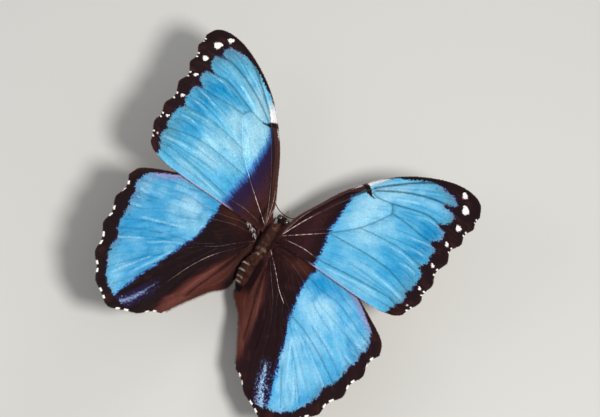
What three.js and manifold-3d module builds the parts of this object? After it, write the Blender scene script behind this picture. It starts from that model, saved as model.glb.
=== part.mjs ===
import * as THREE from 'three';
import Module from 'manifold-3d';
import { mergeVertices } from 'three/addons/utils/BufferGeometryUtils.js';

// A blue morpho butterfly at rest on four legs with its wings spread. Millimetres, +Z up. The head faces
// -Y, and the butterfly's own left is +X. The origin is on the ground under the middle of its outer box.

const degrees = Math.PI / 180;
const fullTurn = 2 * Math.PI;
const { lerp, smoothstep } = THREE.MathUtils;

// Places are given as outward (or +X), forward of the forewing joints, and height above the ground.
const wingJointHeight = 12.5;
const wingJointReach = 2.9;

const thorax = {
  front: 2.9, rear: -8.6, width: 5.3, top: 15.6, bottom: 8.5, rearDrop: 0.5, endCut: 0.06, bluntness: 0.36,
  rings: 12, sides: 16,
};
const abdomen = {
  front: -8.8, length: 12.6, width: 4.7, height: 4.6, frontHeight: 12.3, middleHeight: 11.7, tipHeight: 10,
  frontOffset: -0.1, middleOffset: 1.9, tipOffset: -0.7, frontCut: 0.16, tipCut: 0.04, bluntness: 0.62,
  segments: 7, swell: 0.02, rings: 14, sides: 14,
};
const head = {
  forward: 4.8, height: 13.1, offset: -0.9, width: 3, length: 2.9, depth: 3.3, turn: 8 * degrees,
  sides: 18, rings: 12,
};
const eye = { radius: 1.1, reach: 1.15, forward: 0.25, rise: 0.3, gap: 0.12, sides: 16, rings: 12 };
const palp = {
  length: 2.6, thickness: 0.64, spacing: 0.48, splay: 0.12, gap: 0.3, drop: 0.85, rise: 1.1, bend: 0.25,
  stations: [0, 0.3, 0.7, 1], fullness: [0.7, 1, 0.85, 0.4],
};
const proboscis = {
  coilRadius: 1.05, tubeRadius: 0.27, turns: 1.35, tightening: 0.62, forward: 0.3, drop: 2.95,
  steps: 26, sides: 6,
};
const antenna = {
  places: [[0.32, 6.35, 14.15], [3, 7.9, 11.9], [7, 11.3, 12], [14.4, 18.9, 14.2]],
  thickness: 0.5, clubThickness: 0.84, clubPart: 0.26, tipFullness: 0.6, steps: 12, sides: 6,
};

// Wings are plates in their own plane, measured outward and forward from the joint.
const wingThickness = 0.5;
const wingRows = 12;
const stepsPerScallop = 4;
const forewing = {
  jointForward: 0,
  jointHeight: wingJointHeight,
  rootFront: [0.2, 2.7],
  costa: [
    [0.9, 8], [4.9, 15.2], [9.6, 23], [16, 30.2], [22.4, 35.5], [30, 39.3], [38, 41.5], [44.5, 41.3],
    [48.7, 39.2],
  ],
  veinEnds: [[50.5, 35.6], [50.7, 31], [49.9, 25], [49.2, 17.6], [48.9, 8.9], [48.4, 2.3], [45.7, -3.5]],
  scallops: [0.2, 0.8, 1.2, 1, 0.7, 0.1],
  innerMargin: [[43.6, -4.8], [38.5, -5.5], [31, -5], [20, -3.7], [10, -2.5]],
  rootRear: [0.2, -1.5],
  arch: 0.8,
  fold: 0,
};
const hindwing = {
  jointForward: -3.35,
  jointHeight: wingJointHeight - 1.5,
  rootFront: [0.2, 2],
  costa: [[4, 5.4], [12, 7], [22, 4.4], [33.5, -2.3], [41.5, -7.2], [44.8, -10]],
  veinEnds: [
    [46.1, -13.3], [45.3, -21.7], [43.6, -30.2], [40.3, -38.7], [34.9, -45.1], [27.3, -48.5], [18.6, -44.3],
    [12, -39],
  ],
  scallops: [1, 0.9, 1, 0.6, 0.4, 0.2, 0.3],
  innerMargin: [[9.7, -34.8], [6.2, -28.8], [3.3, -24.4], [0.8, -20.4], [-0.6, -16.5], [-0.2, -10]],
  rootRear: [0.2, -3],
  arch: 0.5,
  fold: 2.2,
};
// The inner part of a hindwing hangs down beside the abdomen: the fold starts at this share of the way
// from the front edge, and its depth rises and falls once over this share of the wing's length.
const fold = { start: 0.6, reach: 5 / 7 };

// Raise lifts a wing's tip, sweep turns it forward and lead lifts its front edge, all in degrees. Span is its
// width as a share of the named sizes, because the left hindwing is curled in a little more than the right.
const wings = {
  wing_fore_left: { shape: forewing, side: 1, raise: 22.9, sweep: 1.5, lead: -2.2, span: 1 },
  wing_fore_right: { shape: forewing, side: -1, raise: 18.7, sweep: -2, lead: 3.4, span: 1 },
  wing_hind_left: { shape: hindwing, side: 1, raise: 23.4, sweep: 3.1, lead: -1.9, span: 0.985 },
  wing_hind_right: { shape: hindwing, side: -1, raise: 18, sweep: -2.9, lead: 0.5, span: 1.015 },
};

// The forelegs are small brushes held up. The others end in a foot of three places, whose underside is flat
// on the ground from the second place to the toe.
const limbSides = 8;
const footRadius = 0.34;
const footHeight = footRadius * Math.cos(Math.PI / limbSides);
const legs = {
  leg_fore: {
    places: [[0.9, 2.4, 8.9], [1.3, 3.6, 8.1], [1.5, 5.6, 8.6], [1.3, 6.6, 7.4]],
    radii: [0.4, 0.38, 0.34, 0.27],
  },
  leg_mid: {
    places: [
      [1.5, 0.3, 8.05], [6, 3.4, 9.9], [9.6, 7.9, 1.1],
      [10.1, 8.5, footHeight], [10.7, 9.3, footHeight], [12.5, 11.7, footHeight],
    ],
    radii: [0.5, 0.46, 0.36, footRadius, footRadius, footRadius],
  },
  leg_hind: {
    places: [
      [1.5, -4.6, 8.05], [5.6, -7.4, 9.6], [8.8, -14, 1.1],
      [9.1, -14.7, footHeight], [9.5, -15.6, footHeight], [10.7, -18.4, footHeight],
    ],
    radii: [0.52, 0.46, 0.36, footRadius, footRadius, footRadius],
  },
};

const wingFinish = new THREE.MeshStandardMaterial({ color: 0x2fa4d8, roughness: 0.45, metalness: 0.1 });
const bodyFinish = new THREE.MeshStandardMaterial({ color: 0x2a201b, roughness: 0.9 });
const eyeFinish = new THREE.MeshStandardMaterial({ color: 0x120d0d, roughness: 0.2 });
const limbFinish = new THREE.MeshStandardMaterial({ color: 0x3a2a22, roughness: 0.6 });
const palpFinish = new THREE.MeshStandardMaterial({ color: 0xb9aea4, roughness: 0.8 });

const wasm = await Module();
wasm.setup();

const butterfly = new THREE.Group();

function addPiece(name, geometry, finish) {
  const mesh = new THREE.Mesh(geometry, finish);
  mesh.name = name;
  butterfly.add(mesh);
  return mesh;
}

// A place on the butterfly: forward is -Y.
function place(outward, forward, height) {
  return new THREE.Vector3(outward, -forward, height);
}

// Makes a geometry from points and triangles, with its faces turned to point out.
function closedGeometry(points, triangles) {
  const volume = triangles.reduce(
    (sum, [a, b, c]) => sum + points[a].dot(new THREE.Vector3().crossVectors(points[b], points[c])), 0);
  const outward = volume > 0 ? triangles : triangles.map(([a, b, c]) => [a, c, b]);
  const geometry = new THREE.BufferGeometry().setFromPoints(points);
  geometry.setIndex(outward.flat());
  geometry.computeVertexNormals();
  return geometry;
}

function centreOf(ring) {
  return ring.reduce((sum, point) => sum.add(point), new THREE.Vector3()).divideScalar(ring.length);
}

// Joins equal rings of points into one solid, with a fan of triangles over each end.
function solidFromRings(rings) {
  const count = rings[0].length;
  const points = rings.flat();
  const lastStart = points.length - count;
  const firstMiddle = points.push(centreOf(rings[0])) - 1;
  const lastMiddle = points.push(centreOf(rings[rings.length - 1])) - 1;
  const triangles = [];
  for (let i = 0; i < count; i += 1) {
    const next = (i + 1) % count;
    for (let start = 0; start < lastStart; start += count) {
      triangles.push([start + i, start + next, start + count + next]);
      triangles.push([start + i, start + count + next, start + count + i]);
    }
    triangles.push([next, i, firstMiddle], [lastStart + i, lastStart + next, lastMiddle]);
  }
  return closedGeometry(points, triangles);
}

// A ring of points round a middle, flattened or not, in the plane of two directions.
function ringAround(middle, across, acrossRadius, upward, upwardRadius, sides, firstAngle = 0) {
  return Array.from({ length: sides }, (_, k) => {
    const angle = firstAngle + (k / sides) * fullTurn;
    return middle.clone()
      .addScaledVector(across, acrossRadius * Math.cos(angle))
      .addScaledVector(upward, upwardRadius * Math.sin(angle));
  });
}

// Body rings stand across the Y axis. Each has a centre, a half width and a half height.
function bodySolid(ringCount, sides, ringAt) {
  const across = new THREE.Vector3(1, 0, 0);
  const upward = new THREE.Vector3(0, 0, 1);
  return solidFromRings(Array.from({ length: ringCount + 1 }, (_, i) => {
    const { centre, halfWidth, halfHeight } = ringAt(i / ringCount);
    return ringAround(centre, across, halfWidth, upward, halfHeight, sides);
  }));
}

function addThorax() {
  const height = thorax.top - thorax.bottom;
  const middleHeight = (thorax.top + thorax.bottom) / 2;
  addPiece('thorax', bodySolid(thorax.rings, thorax.sides, (t) => {
    const along = 0.5 - 0.5 * Math.cos(Math.PI * lerp(thorax.endCut, 1 - thorax.endCut, t));
    const fullness = Math.pow(4 * along * (1 - along), thorax.bluntness);
    return {
      centre: place(0, lerp(thorax.front, thorax.rear, along), middleHeight - thorax.rearDrop * along),
      halfWidth: (thorax.width / 2) * fullness,
      halfHeight: (height / 2) * fullness,
    };
  }), bodyFinish);
}

// The abdomen hangs a little towards its tip, sways sideways, and swells slightly in each segment.
function addAbdomen() {
  const axis = new THREE.QuadraticBezierCurve3(
    place(abdomen.frontOffset, abdomen.front, abdomen.frontHeight),
    place(abdomen.middleOffset, abdomen.front - abdomen.length / 2, abdomen.middleHeight),
    place(abdomen.tipOffset, abdomen.front - abdomen.length, abdomen.tipHeight));
  addPiece('abdomen', bodySolid(abdomen.rings, abdomen.sides, (t) => {
    const angle = Math.PI * lerp(abdomen.frontCut, 1 - abdomen.tipCut, t);
    const taper = Math.pow(Math.sin(angle), abdomen.bluntness);
    const swell = 1 + abdomen.swell * Math.cos(fullTurn * abdomen.segments * t);
    return {
      centre: axis.getPoint(t),
      halfWidth: (abdomen.width / 2) * taper * swell,
      halfHeight: (abdomen.height / 2) * taper * swell,
    };
  }), bodyFinish);
}

function manifoldOf(geometry) {
  const bare = geometry.clone();
  bare.deleteAttribute('normal');
  bare.deleteAttribute('uv');
  const merged = mergeVertices(bare, 1e-4);
  return new wasm.Manifold(new wasm.Mesh({
    numProp: 3,
    vertProperties: Float32Array.from(merged.attributes.position.array),
    triVerts: Uint32Array.from(merged.index.array),
  }));
}

function geometryOf(manifold) {
  const { vertProperties, triVerts } = manifold.getMesh();
  const geometry = new THREE.BufferGeometry();
  geometry.setAttribute('position', new THREE.Float32BufferAttribute(vertProperties, 3));
  geometry.setIndex(Array.from(triVerts));
  geometry.computeVertexNormals();
  return geometry;
}

// The head is a rounded block that is hollowed where each eye sits.
function addHead() {
  const headPlace = place(head.offset, head.forward, head.height);
  const pose = new THREE.Matrix4().makeRotationZ(-head.turn).setPosition(headPlace);
  const block = new THREE.SphereGeometry(0.5, head.sides, head.rings);
  block.scale(head.width, head.length, head.depth).applyMatrix4(pose);
  let skull = manifoldOf(block);
  for (const [name, side] of [['eye_left', 1], ['eye_right', -1]]) {
    const eyePlace = place(side * eye.reach, eye.forward, eye.rise).applyMatrix4(pose);
    const hollow = new THREE.SphereGeometry(eye.radius + eye.gap, eye.sides, eye.rings);
    skull = skull.subtract(manifoldOf(hollow.translate(...eyePlace)));
    const ball = new THREE.SphereGeometry(eye.radius, eye.sides, eye.rings);
    addPiece(name, ball, eyeFinish).position.copy(eyePlace);
  }
  addPiece('head', geometryOf(skull), bodyFinish);
  addPalps(pose);
  addProboscis(pose);
  addAntennae();
}

// A limb is a tube through places, with a radius at each. Its sections are turned so that a flat faces down.
function limbSolid(places, radii, sides = limbSides) {
  const leastLevelPart = 0.05;
  return solidFromRings(places.map((middle, i) => {
    const before = places[Math.max(i - 1, 0)];
    const after = places[Math.min(i + 1, places.length - 1)];
    const along = after.clone().sub(before).normalize();
    const across = new THREE.Vector3(along.y, -along.x, 0);
    if (across.length() < leastLevelPart) across.set(1, 0, 0);
    across.normalize();
    const upward = new THREE.Vector3().crossVectors(across, along).normalize();
    return ringAround(middle, across, radii[i], upward, radii[i], sides, Math.PI / sides);
  }));
}

function addPalps(pose) {
  const rootForward = head.length / 2 + palp.gap;
  const radii = palp.fullness.map((share) => (share * palp.thickness) / 2);
  for (const [name, side] of [['palp_left', 1], ['palp_right', -1]]) {
    const places = palp.stations.map((t) => place(
      side * (palp.spacing + palp.splay * t),
      rootForward + palp.length * t * (1 - palp.bend * t),
      palp.rise * t * t - palp.drop));
    addPiece(name, limbSolid(places.map((p) => p.applyMatrix4(pose)), radii), palpFinish);
  }
}

// The tongue is a flat coil under the front of the head, in the plane between the palps.
function addProboscis(pose) {
  const { steps, sides, tubeRadius } = proboscis;
  const across = new THREE.Vector3(1, 0, 0);
  const places = Array.from({ length: steps + 1 }, (_, i) => {
    const t = i / steps;
    const angle = fullTurn / 4 - t * proboscis.turns * fullTurn;
    const radius = proboscis.coilRadius * (1 - proboscis.tightening * t);
    return place(0, proboscis.forward + radius * Math.cos(angle), radius * Math.sin(angle) - proboscis.drop);
  });
  const rings = places.map((middle, i) => {
    const along = places[Math.min(i + 1, steps)].clone().sub(places[Math.max(i - 1, 0)]).normalize();
    const upward = new THREE.Vector3().crossVectors(across, along);
    const ring = ringAround(middle, across, tubeRadius, upward, tubeRadius, sides);
    return ring.map((point) => point.applyMatrix4(pose));
  });
  addPiece('proboscis', solidFromRings(rings), limbFinish);
}

// Each feeler leaves the top of the head, dips under the forewing's front edge and ends in a slim club.
function addAntennae() {
  const { places, steps, thickness, clubThickness, clubPart, tipFullness } = antenna;
  const last = places.length - 1;
  const radii = Array.from({ length: steps + 1 }, (_, i) => {
    const club = smoothstep(i / steps, 1 - clubPart, 1 - clubPart / 3);
    return (lerp(thickness, clubThickness, club) / 2) * (i === steps ? tipFullness : 1);
  });
  for (const [name, side] of [['antenna_left', 1], ['antenna_right', -1]]) {
    const route = new THREE.CatmullRomCurve3(places.map(([outward, forward, height], i) => place(
      side * outward + head.offset * (1 - i / last), forward, height)));
    addPiece(name, limbSolid(route.getSpacedPoints(steps), radii, antenna.sides), limbFinish);
  }
}

// A margin is a smooth curve through its places. Points are spaced evenly along it.
function marginPoints(places, steps) {
  const curve = new THREE.SplineCurve(places.map(([a, b]) => new THREE.Vector2(a, b)));
  return curve.getSpacedPoints(steps);
}

// The outer margin runs from vein end to vein end and draws in between them by each scallop's depth.
function scallopedMargin(shape) {
  const tips = shape.veinEnds.map(([a, b]) => new THREE.Vector2(a, b));
  const curve = new THREE.SplineCurve(tips);
  const spans = tips.length - 1;
  const points = [];
  for (let i = 0; i <= spans * stepsPerScallop; i += 1) {
    const t = i / (spans * stepsPerScallop);
    const span = Math.min(Math.floor(i / stepsPerScallop), spans - 1);
    const share = i / stepsPerScallop - span;
    const along = curve.getTangent(t);
    const inward = new THREE.Vector2(along.y, -along.x);
    points.push(curve.getPoint(t).addScaledVector(inward, shape.scallops[span] * Math.sin(Math.PI * share)));
  }
  return points;
}

// A wing's height over its own plane: a low arch, less the fold along the inner margin.
function wingHeight(shape, u, v) {
  const arch = shape.arch * Math.sin(Math.PI * u) * Math.sin(Math.PI * v) ** 2;
  const folded = smoothstep(v, fold.start, 1) * Math.sin(Math.PI * Math.min(u / fold.reach, 1));
  return arch - shape.fold * folded;
}

// A wing plate fills the space between its four margins: u runs from root to outer margin, v from the
// front edge to the inner margin. Each place blends the facing margins and takes off the corners' share.
function wingSolid(shape, side, span) {
  const outer = scallopedMargin(shape);
  const columns = outer.length - 1;
  const root = marginPoints([shape.rootFront, shape.rootRear], columns);
  const front = marginPoints([shape.rootFront, ...shape.costa, outer[0].toArray()], wingRows);
  const rearward = [...shape.innerMargin].reverse();
  const inner = marginPoints([shape.rootRear, ...rearward, outer[columns].toArray()], wingRows);
  const points = [];
  for (let row = 0; row <= wingRows; row += 1) {
    for (let column = 0; column <= columns; column += 1) {
      const u = row / wingRows;
      const v = column / columns;
      const flat = new THREE.Vector2()
        .addScaledVector(front[row], 1 - v).addScaledVector(inner[row], v)
        .addScaledVector(root[column], 1 - u).addScaledVector(outer[column], u)
        .addScaledVector(root[0], -(1 - u) * (1 - v)).addScaledVector(root[columns], -(1 - u) * v)
        .addScaledVector(outer[0], -u * (1 - v)).addScaledVector(outer[columns], -u * v);
      const height = wingHeight(shape, u, v);
      for (const half of [0.5, -0.5]) {
        points.push(place(side * span * flat.x, flat.y, height + half * wingThickness));
      }
    }
  }
  return closedGeometry(points, plateTriangles(wingRows, columns));
}

// Triangles of a plate whose points run row by row, each place with its upper and then its lower point.
function plateTriangles(rows, columns) {
  const index = (row, column, layer) => (row * (columns + 1) + column) * 2 + layer;
  const triangles = [];
  const addQuad = (a, b, c, d) => triangles.push([a, b, c], [a, c, d]);
  const addFace = (row, column, layer) => {
    const near = [index(row, column, layer), index(row + 1, column, layer)];
    const far = [index(row + 1, column + 1, layer), index(row, column + 1, layer)];
    if (layer === 0) addQuad(...near, ...far);
    else addQuad(near[0], far[1], far[0], near[1]);
  };
  for (let row = 0; row < rows; row += 1) {
    for (let column = 0; column < columns; column += 1) {
      addFace(row, column, 0);
      addFace(row, column, 1);
    }
    addQuad(index(row, 0, 1), index(row + 1, 0, 1), index(row + 1, 0, 0), index(row, 0, 0));
    addQuad(
      index(row, columns, 0), index(row + 1, columns, 0), index(row + 1, columns, 1), index(row, columns, 1));
  }
  for (let column = 0; column < columns; column += 1) {
    const next = column + 1;
    addQuad(index(0, column, 0), index(0, next, 0), index(0, next, 1), index(0, column, 1));
    addQuad(index(rows, column, 1), index(rows, next, 1), index(rows, next, 0), index(rows, column, 0));
  }
  return triangles;
}

function addWings() {
  for (const [name, { shape, side, raise, sweep, lead, span }] of Object.entries(wings)) {
    const wing = addPiece(name, wingSolid(shape, side, span), wingFinish);
    wing.position.copy(place(side * wingJointReach, shape.jointForward, shape.jointHeight));
    wing.rotation.set(-lead * degrees, -side * raise * degrees, -side * sweep * degrees, 'YZX');
  }
}

function addLegs() {
  for (const [name, { places, radii }] of Object.entries(legs)) {
    for (const [sideName, side] of [['left', 1], ['right', -1]]) {
      const joints = places.map(([outward, forward, height]) => place(side * outward, forward, height));
      addPiece(`${name}_${sideName}`, limbSolid(joints, radii), limbFinish);
    }
  }
}

addThorax();
addAbdomen();
addHead();
addWings();
addLegs();

const outerBox = new THREE.Box3().setFromObject(butterfly, true);
const middle = outerBox.getCenter(new THREE.Vector3());
butterfly.position.set(-middle.x, -middle.y, 0);

export default butterfly;
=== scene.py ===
import math

import bpy
import numpy as np
from mathutils import Matrix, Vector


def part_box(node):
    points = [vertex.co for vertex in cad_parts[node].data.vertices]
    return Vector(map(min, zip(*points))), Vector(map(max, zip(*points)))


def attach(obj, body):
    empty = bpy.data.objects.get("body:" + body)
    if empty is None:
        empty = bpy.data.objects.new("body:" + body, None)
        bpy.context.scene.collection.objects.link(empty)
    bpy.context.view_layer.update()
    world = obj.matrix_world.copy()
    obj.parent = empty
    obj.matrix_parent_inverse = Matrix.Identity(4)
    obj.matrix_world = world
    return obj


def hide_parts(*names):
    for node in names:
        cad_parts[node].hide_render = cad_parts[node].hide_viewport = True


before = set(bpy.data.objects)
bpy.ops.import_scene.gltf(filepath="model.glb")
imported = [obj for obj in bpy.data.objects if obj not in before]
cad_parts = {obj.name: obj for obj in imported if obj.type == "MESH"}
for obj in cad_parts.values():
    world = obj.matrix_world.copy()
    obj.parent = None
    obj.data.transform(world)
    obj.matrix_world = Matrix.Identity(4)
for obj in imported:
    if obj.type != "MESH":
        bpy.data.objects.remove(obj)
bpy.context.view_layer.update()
print("stage: frame loaded")

# Everything is worked out in millimetres and goes into the meshes in metres. Places on the butterfly are
# outward (its own left is +), forward of the forewing joints, and height above the floor.
millimetre = 0.001
thoraxMiddleForward = -2.85
thoraxLow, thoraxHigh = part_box("thorax")
bodyShift = np.array([
    (thoraxLow[0] + thoraxHigh[0]) / 2 / millimetre,
    (thoraxLow[1] + thoraxHigh[1]) / 2 / millimetre + thoraxMiddleForward,
    0.0,
])


def place(outward, forward, height):
    # x is outward, y is minus forward and z is height, all moved by the body's shift
    outward, forward, height = np.broadcast_arrays(outward, forward, height)
    return np.stack([outward, -forward, height], axis=-1).astype(float) + bodyShift


def linear(hexText):
    # an sRGB colour such as "8fd4f2" as linear red, green and blue
    shown = np.array([int(hexText[i:i + 2], 16) / 255 for i in (0, 2, 4)])
    return np.where(shown <= 0.04045, shown / 12.92, ((shown + 0.055) / 1.055) ** 2.4)


def paints(**shown):
    # a dictionary of linear colours from named sRGB ones
    return {name: linear(hexText) for name, hexText in shown.items()}


def eased(values, low, high):
    # 0 below low, 1 above high, and 3t^2 - 2t^3 between them
    share = np.clip((values - low) / (high - low), 0, 1)
    return share * share * (3 - 2 * share)


def plain(colour, like):
    # one colour for every place of an array
    return np.broadcast_to(colour, np.shape(like) + (3,))


def over(colours, paint, cover):
    # paint laid over colours: each is colour * (1 - cover) + paint * cover
    return colours + (paint - colours) * np.asarray(cover)[..., None]


def layered(colours, *layers):
    # several paints laid over colours one after another, each with its cover
    for paint, cover in layers:
        colours = over(colours, paint, cover)
    return colours


def unit(vectors):
    # each vector divided by its length
    return vectors / np.maximum(np.linalg.norm(vectors, axis=-1, keepdims=True), 1e-12)


def squareTo(vectors, along):
    # vectors without their part along another direction, as unit vectors: v - along * (v . along)
    return unit(vectors - along * (vectors * along).sum(-1)[..., None])


def sideOf(vectors, facing):
    # -1 where a vector points away from facing, else 1
    return np.where((vectors * facing).sum(-1) < 0, -1, 1)[..., None]


def latticeNoise(x, y, seed):
    # random numbers from -1 to 1 at whole x and y, eased between the four neighbours
    size = 256
    table = np.random.default_rng(seed).uniform(-1, 1, (size, size))
    column, row = np.floor(x).astype(int), np.floor(y).astype(int)
    across, down = eased(x - column, 0, 1), eased(y - row, 0, 1)

    def at(i, j):
        return table[i % size, j % size]

    near = at(row, column) * (1 - across) + at(row, column + 1) * across
    far = at(row + 1, column) * (1 - across) + at(row + 1, column + 1) * across
    return near * (1 - down) + far * down


def splineAt(places, shares):
    # a smooth curve through all places: cubic pieces whose slope at a place is half the step between its
    # neighbours
    places = np.asarray(places, float)
    last = len(places) - 1
    run = np.clip(np.asarray(shares, float) * last, 0, last)
    k = np.minimum(run.astype(int), last - 1)
    t = (run - k)[..., None]
    start, end = places[k], places[k + 1]
    slopeIn = (end - places[np.maximum(k - 1, 0)]) / 2
    slopeOut = (places[np.minimum(k + 2, last)] - start) / 2
    cubic = 2 * start - 2 * end + slopeIn + slopeOut
    square = -3 * start + 3 * end - 2 * slopeIn - slopeOut
    return ((cubic * t + square) * t + slopeIn) * t + start


def evenAlong(points, count):
    # count + 1 places spaced evenly by length along a line of points
    run = np.concatenate([[0], np.cumsum(np.linalg.norm(np.diff(points, axis=0), axis=1))])
    wanted = np.linspace(0, run[-1], count + 1)
    return np.stack([np.interp(wanted, run, points[:, i]) for i in range(points.shape[1])], axis=1)


def evenSpline(places, count):
    # count + 1 places spaced evenly by length on the smooth curve through all places
    return evenAlong(splineAt(places, np.linspace(0, 1, 900)), count)


def pathGap(path, a, b):
    # distance from each place to a line of points, signed + on the left of its direction; the side is told
    # by the line's direction blended between its points, so it holds at sharp corners too
    start, step = path[:-1], np.diff(path, axis=0)
    length = (step ** 2).sum(1)
    heading = unit(step)
    heading = unit(np.concatenate([heading[:1], heading[1:] + heading[:-1], heading[-1:]]))
    gaps = []
    for part in np.array_split(np.stack([a, b], axis=1), max(1, len(a) // 6000)):
        away = part[:, None] - start
        share = np.clip((away * step).sum(2) / length, 0, 1)
        off = away - share[..., None] * step
        distance = np.hypot(off[..., 0], off[..., 1])
        nearest = distance.argmin(1)
        rows = np.arange(len(part))
        t = share[rows, nearest][:, None]
        along = heading[nearest] * (1 - t) + heading[nearest + 1] * t
        cross = along[:, 0] * off[rows, nearest, 1] - along[:, 1] * off[rows, nearest, 0]
        gaps.append(distance[rows, nearest] * np.where(cross < 0, -1, 1))
    return np.concatenate(gaps)


def splineGap(places, count, a, b):
    # signed distance from each place to the smooth curve through all places
    return pathGap(evenSpline(places, count), a, b)


def facingOut(points, faces):
    # turns every face round if the closed shape's signed volume is negative
    volume = 0.0
    for corners in faces:
        first = points[corners[:, 0]]
        for k in range(1, corners.shape[1] - 1):
            volume += (first * np.cross(points[corners[:, k]], points[corners[:, k + 1]])).sum()
    return faces if volume > 0 else [corners[:, ::-1] for corners in faces]


def addMesh(name, points, faces, finish, tint=None, bakeMap=None, smooth=True, numbers=None):
    # points in millimetres, faces as arrays of triangles or quads, tint and numbers for each point
    mesh = bpy.data.meshes.new(name)
    corners = np.concatenate([f.ravel() for f in faces]).astype(np.int32)
    sizes = np.concatenate([np.full(len(f), f.shape[1]) for f in faces])
    mesh.vertices.add(len(points))
    mesh.vertices.foreach_set("co", (points * millimetre).astype(np.float32).ravel())
    mesh.loops.add(len(corners))
    mesh.loops.foreach_set("vertex_index", corners)
    mesh.polygons.add(len(sizes))
    mesh.polygons.foreach_set("loop_start", np.concatenate([[0], np.cumsum(sizes)[:-1]]).astype(np.int32))
    mesh.polygons.foreach_set("use_smooth", np.full(len(sizes), smooth))
    mesh.update(calc_edges=True)
    if tint is not None:
        colours = np.ones((len(points), 4), np.float32)
        colours[:, :3] = tint
        mesh.attributes.new("tint", "FLOAT_COLOR", "POINT").data.foreach_set("color", colours.ravel())
    for key, values in (numbers or {}).items():
        mesh.attributes.new(key, "FLOAT", "POINT").data.foreach_set("value", values.astype(np.float32))
    if bakeMap is not None:
        layer = mesh.uv_layers.new(name="OFBake")
        layer.data.foreach_set("uv", bakeMap[corners].astype(np.float32).ravel())
    mesh.materials.append(finish)
    piece = bpy.data.objects.new(name, mesh)
    bpy.context.scene.collection.objects.link(piece)
    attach(piece, "root")
    return piece


def gridFaces(rows, columns, closed=False):
    # quads of a grid of points that runs row by row; a closed grid joins its last column to its first
    i, j = np.meshgrid(np.arange(rows - 1), np.arange(columns if closed else columns - 1), indexing="ij")
    here, beside = i * columns + j, i * columns + (j + 1) % columns
    return np.stack([here, here + columns, beside + columns, beside], -1).reshape(-1, 4)


def tubePoints(path, across, upward, sides, hint=(0, 0, 1)):
    # rings round a path: middle + across * cos * side direction + upward * sin * up direction
    along = unit(np.gradient(path, axis=0))
    sideways = unit(np.cross(along, np.asarray(hint, float)))
    up = np.cross(sideways, along)
    angle = np.linspace(0, 2 * math.pi, sides, endpoint=False)[None, :, None]
    return path[:, None] + (
        np.cos(angle) * sideways[:, None] * across[:, None, None]
        + np.sin(angle) * up[:, None] * upward[:, None, None])


def closedTube(rings):
    # rings joined by quads, with a pole at the middle of the first and the last ring
    count, sides = rings.shape[:2]
    points = np.concatenate([rings.reshape(-1, 3), rings[:1].mean(1), rings[-1:].mean(1)])
    start = np.arange(sides)
    after = (start + 1) % sides
    lastRing = (count - 1) * sides
    nearPole = np.stack([after, start, np.full(sides, count * sides)], 1)
    farPole = np.stack([start + lastRing, after + lastRing, np.full(sides, count * sides + 1)], 1)
    return points, [gridFaces(count, sides, closed=True), np.concatenate([nearPole, farPole])]


def withPoles(values):
    # values for the points of a closed tube, its two poles taking the first and the last one
    return np.concatenate([values, values[:1], values[-1:]])


def ringedTube(path, radius, sides, colours, hint=(0, 0, 1)):
    # a closed tube whose radius is given along the path, with a colour for each ring
    points, faces = closedTube(tubePoints(path, radius, radius, sides, hint))
    return points, facingOut(points, faces), withPoles(np.repeat(colours, sides, 0))


def joined(parts):
    # several (points, faces, extras...) as one: the faces' numbers move up by the points before them
    points, faces, extras, first = [], [], [], 0
    for part in parts:
        points.append(part[0])
        faces += [corners + first for corners in part[1]]
        extras.append(part[2:])
        first += len(part[0])
    return [np.concatenate(points), faces] + [np.concatenate(kind) for kind in zip(*extras)]


def laid(start, across, along, normal, sideways, ahead, rise):
    # copies of a small mesh: start + across * sideways + along * ahead + normal * rise, where the last
    # three hold a row for each copy and a number for each of its points
    points = (
        start[:, None] + across[:, None] * sideways[..., None]
        + along[:, None] * ahead[..., None] + normal[:, None] * rise[..., None])
    return points.reshape(-1, 3)


def repeated(template, faces, count):
    # face numbers of count copies of a small mesh
    step = (np.arange(count) * len(template))[:, None, None]
    return [(corners[None] + step).reshape(-1, corners.shape[1]) for corners in faces]


def bakePatches(where, template, count):
    # each copy's points on a patch 0.003 across at its root's place on the unwrap
    patch = 0.003
    across = template[:, :2] - template[:, :2].min(0)
    return (where[:, None] + (across / across.max() * patch)[None]).reshape(-1, 2)


def wrapAt(share, angle):
    # unwrap places round a tube: share along it and angle round it
    return np.stack([share, angle / (2 * math.pi)], -1) * 0.96 + 0.01


def turnedInPlane(along, normal, angle):
    # a direction turned about its normal: along * cos + across * sin
    return along * np.cos(angle)[:, None] + np.cross(along, normal) * np.sin(angle)[:, None]


# Materials

def newFinish(name, **values):
    # a Principled material; values are named after its sockets, with _ for a space
    finish = bpy.data.materials.new(name)
    finish.use_nodes = True
    shader = finish.node_tree.nodes["Principled BSDF"]
    for socket, value in values.items():
        shader.inputs[socket.replace("_", " ")].default_value = value
    return finish, finish.node_tree, shader


def added(tree, kind, output, inputs, **settings):
    # a new node's output, with a number or another node's output on each input that is named
    node = tree.nodes.new("ShaderNode" + kind)
    for key, value in settings.items():
        setattr(node, key, value)
    for socket, value in inputs.items():
        if isinstance(value, bpy.types.NodeSocket):
            tree.links.new(value, node.inputs[socket])
        else:
            node.inputs[socket].default_value = value
    return node.outputs[output]


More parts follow.
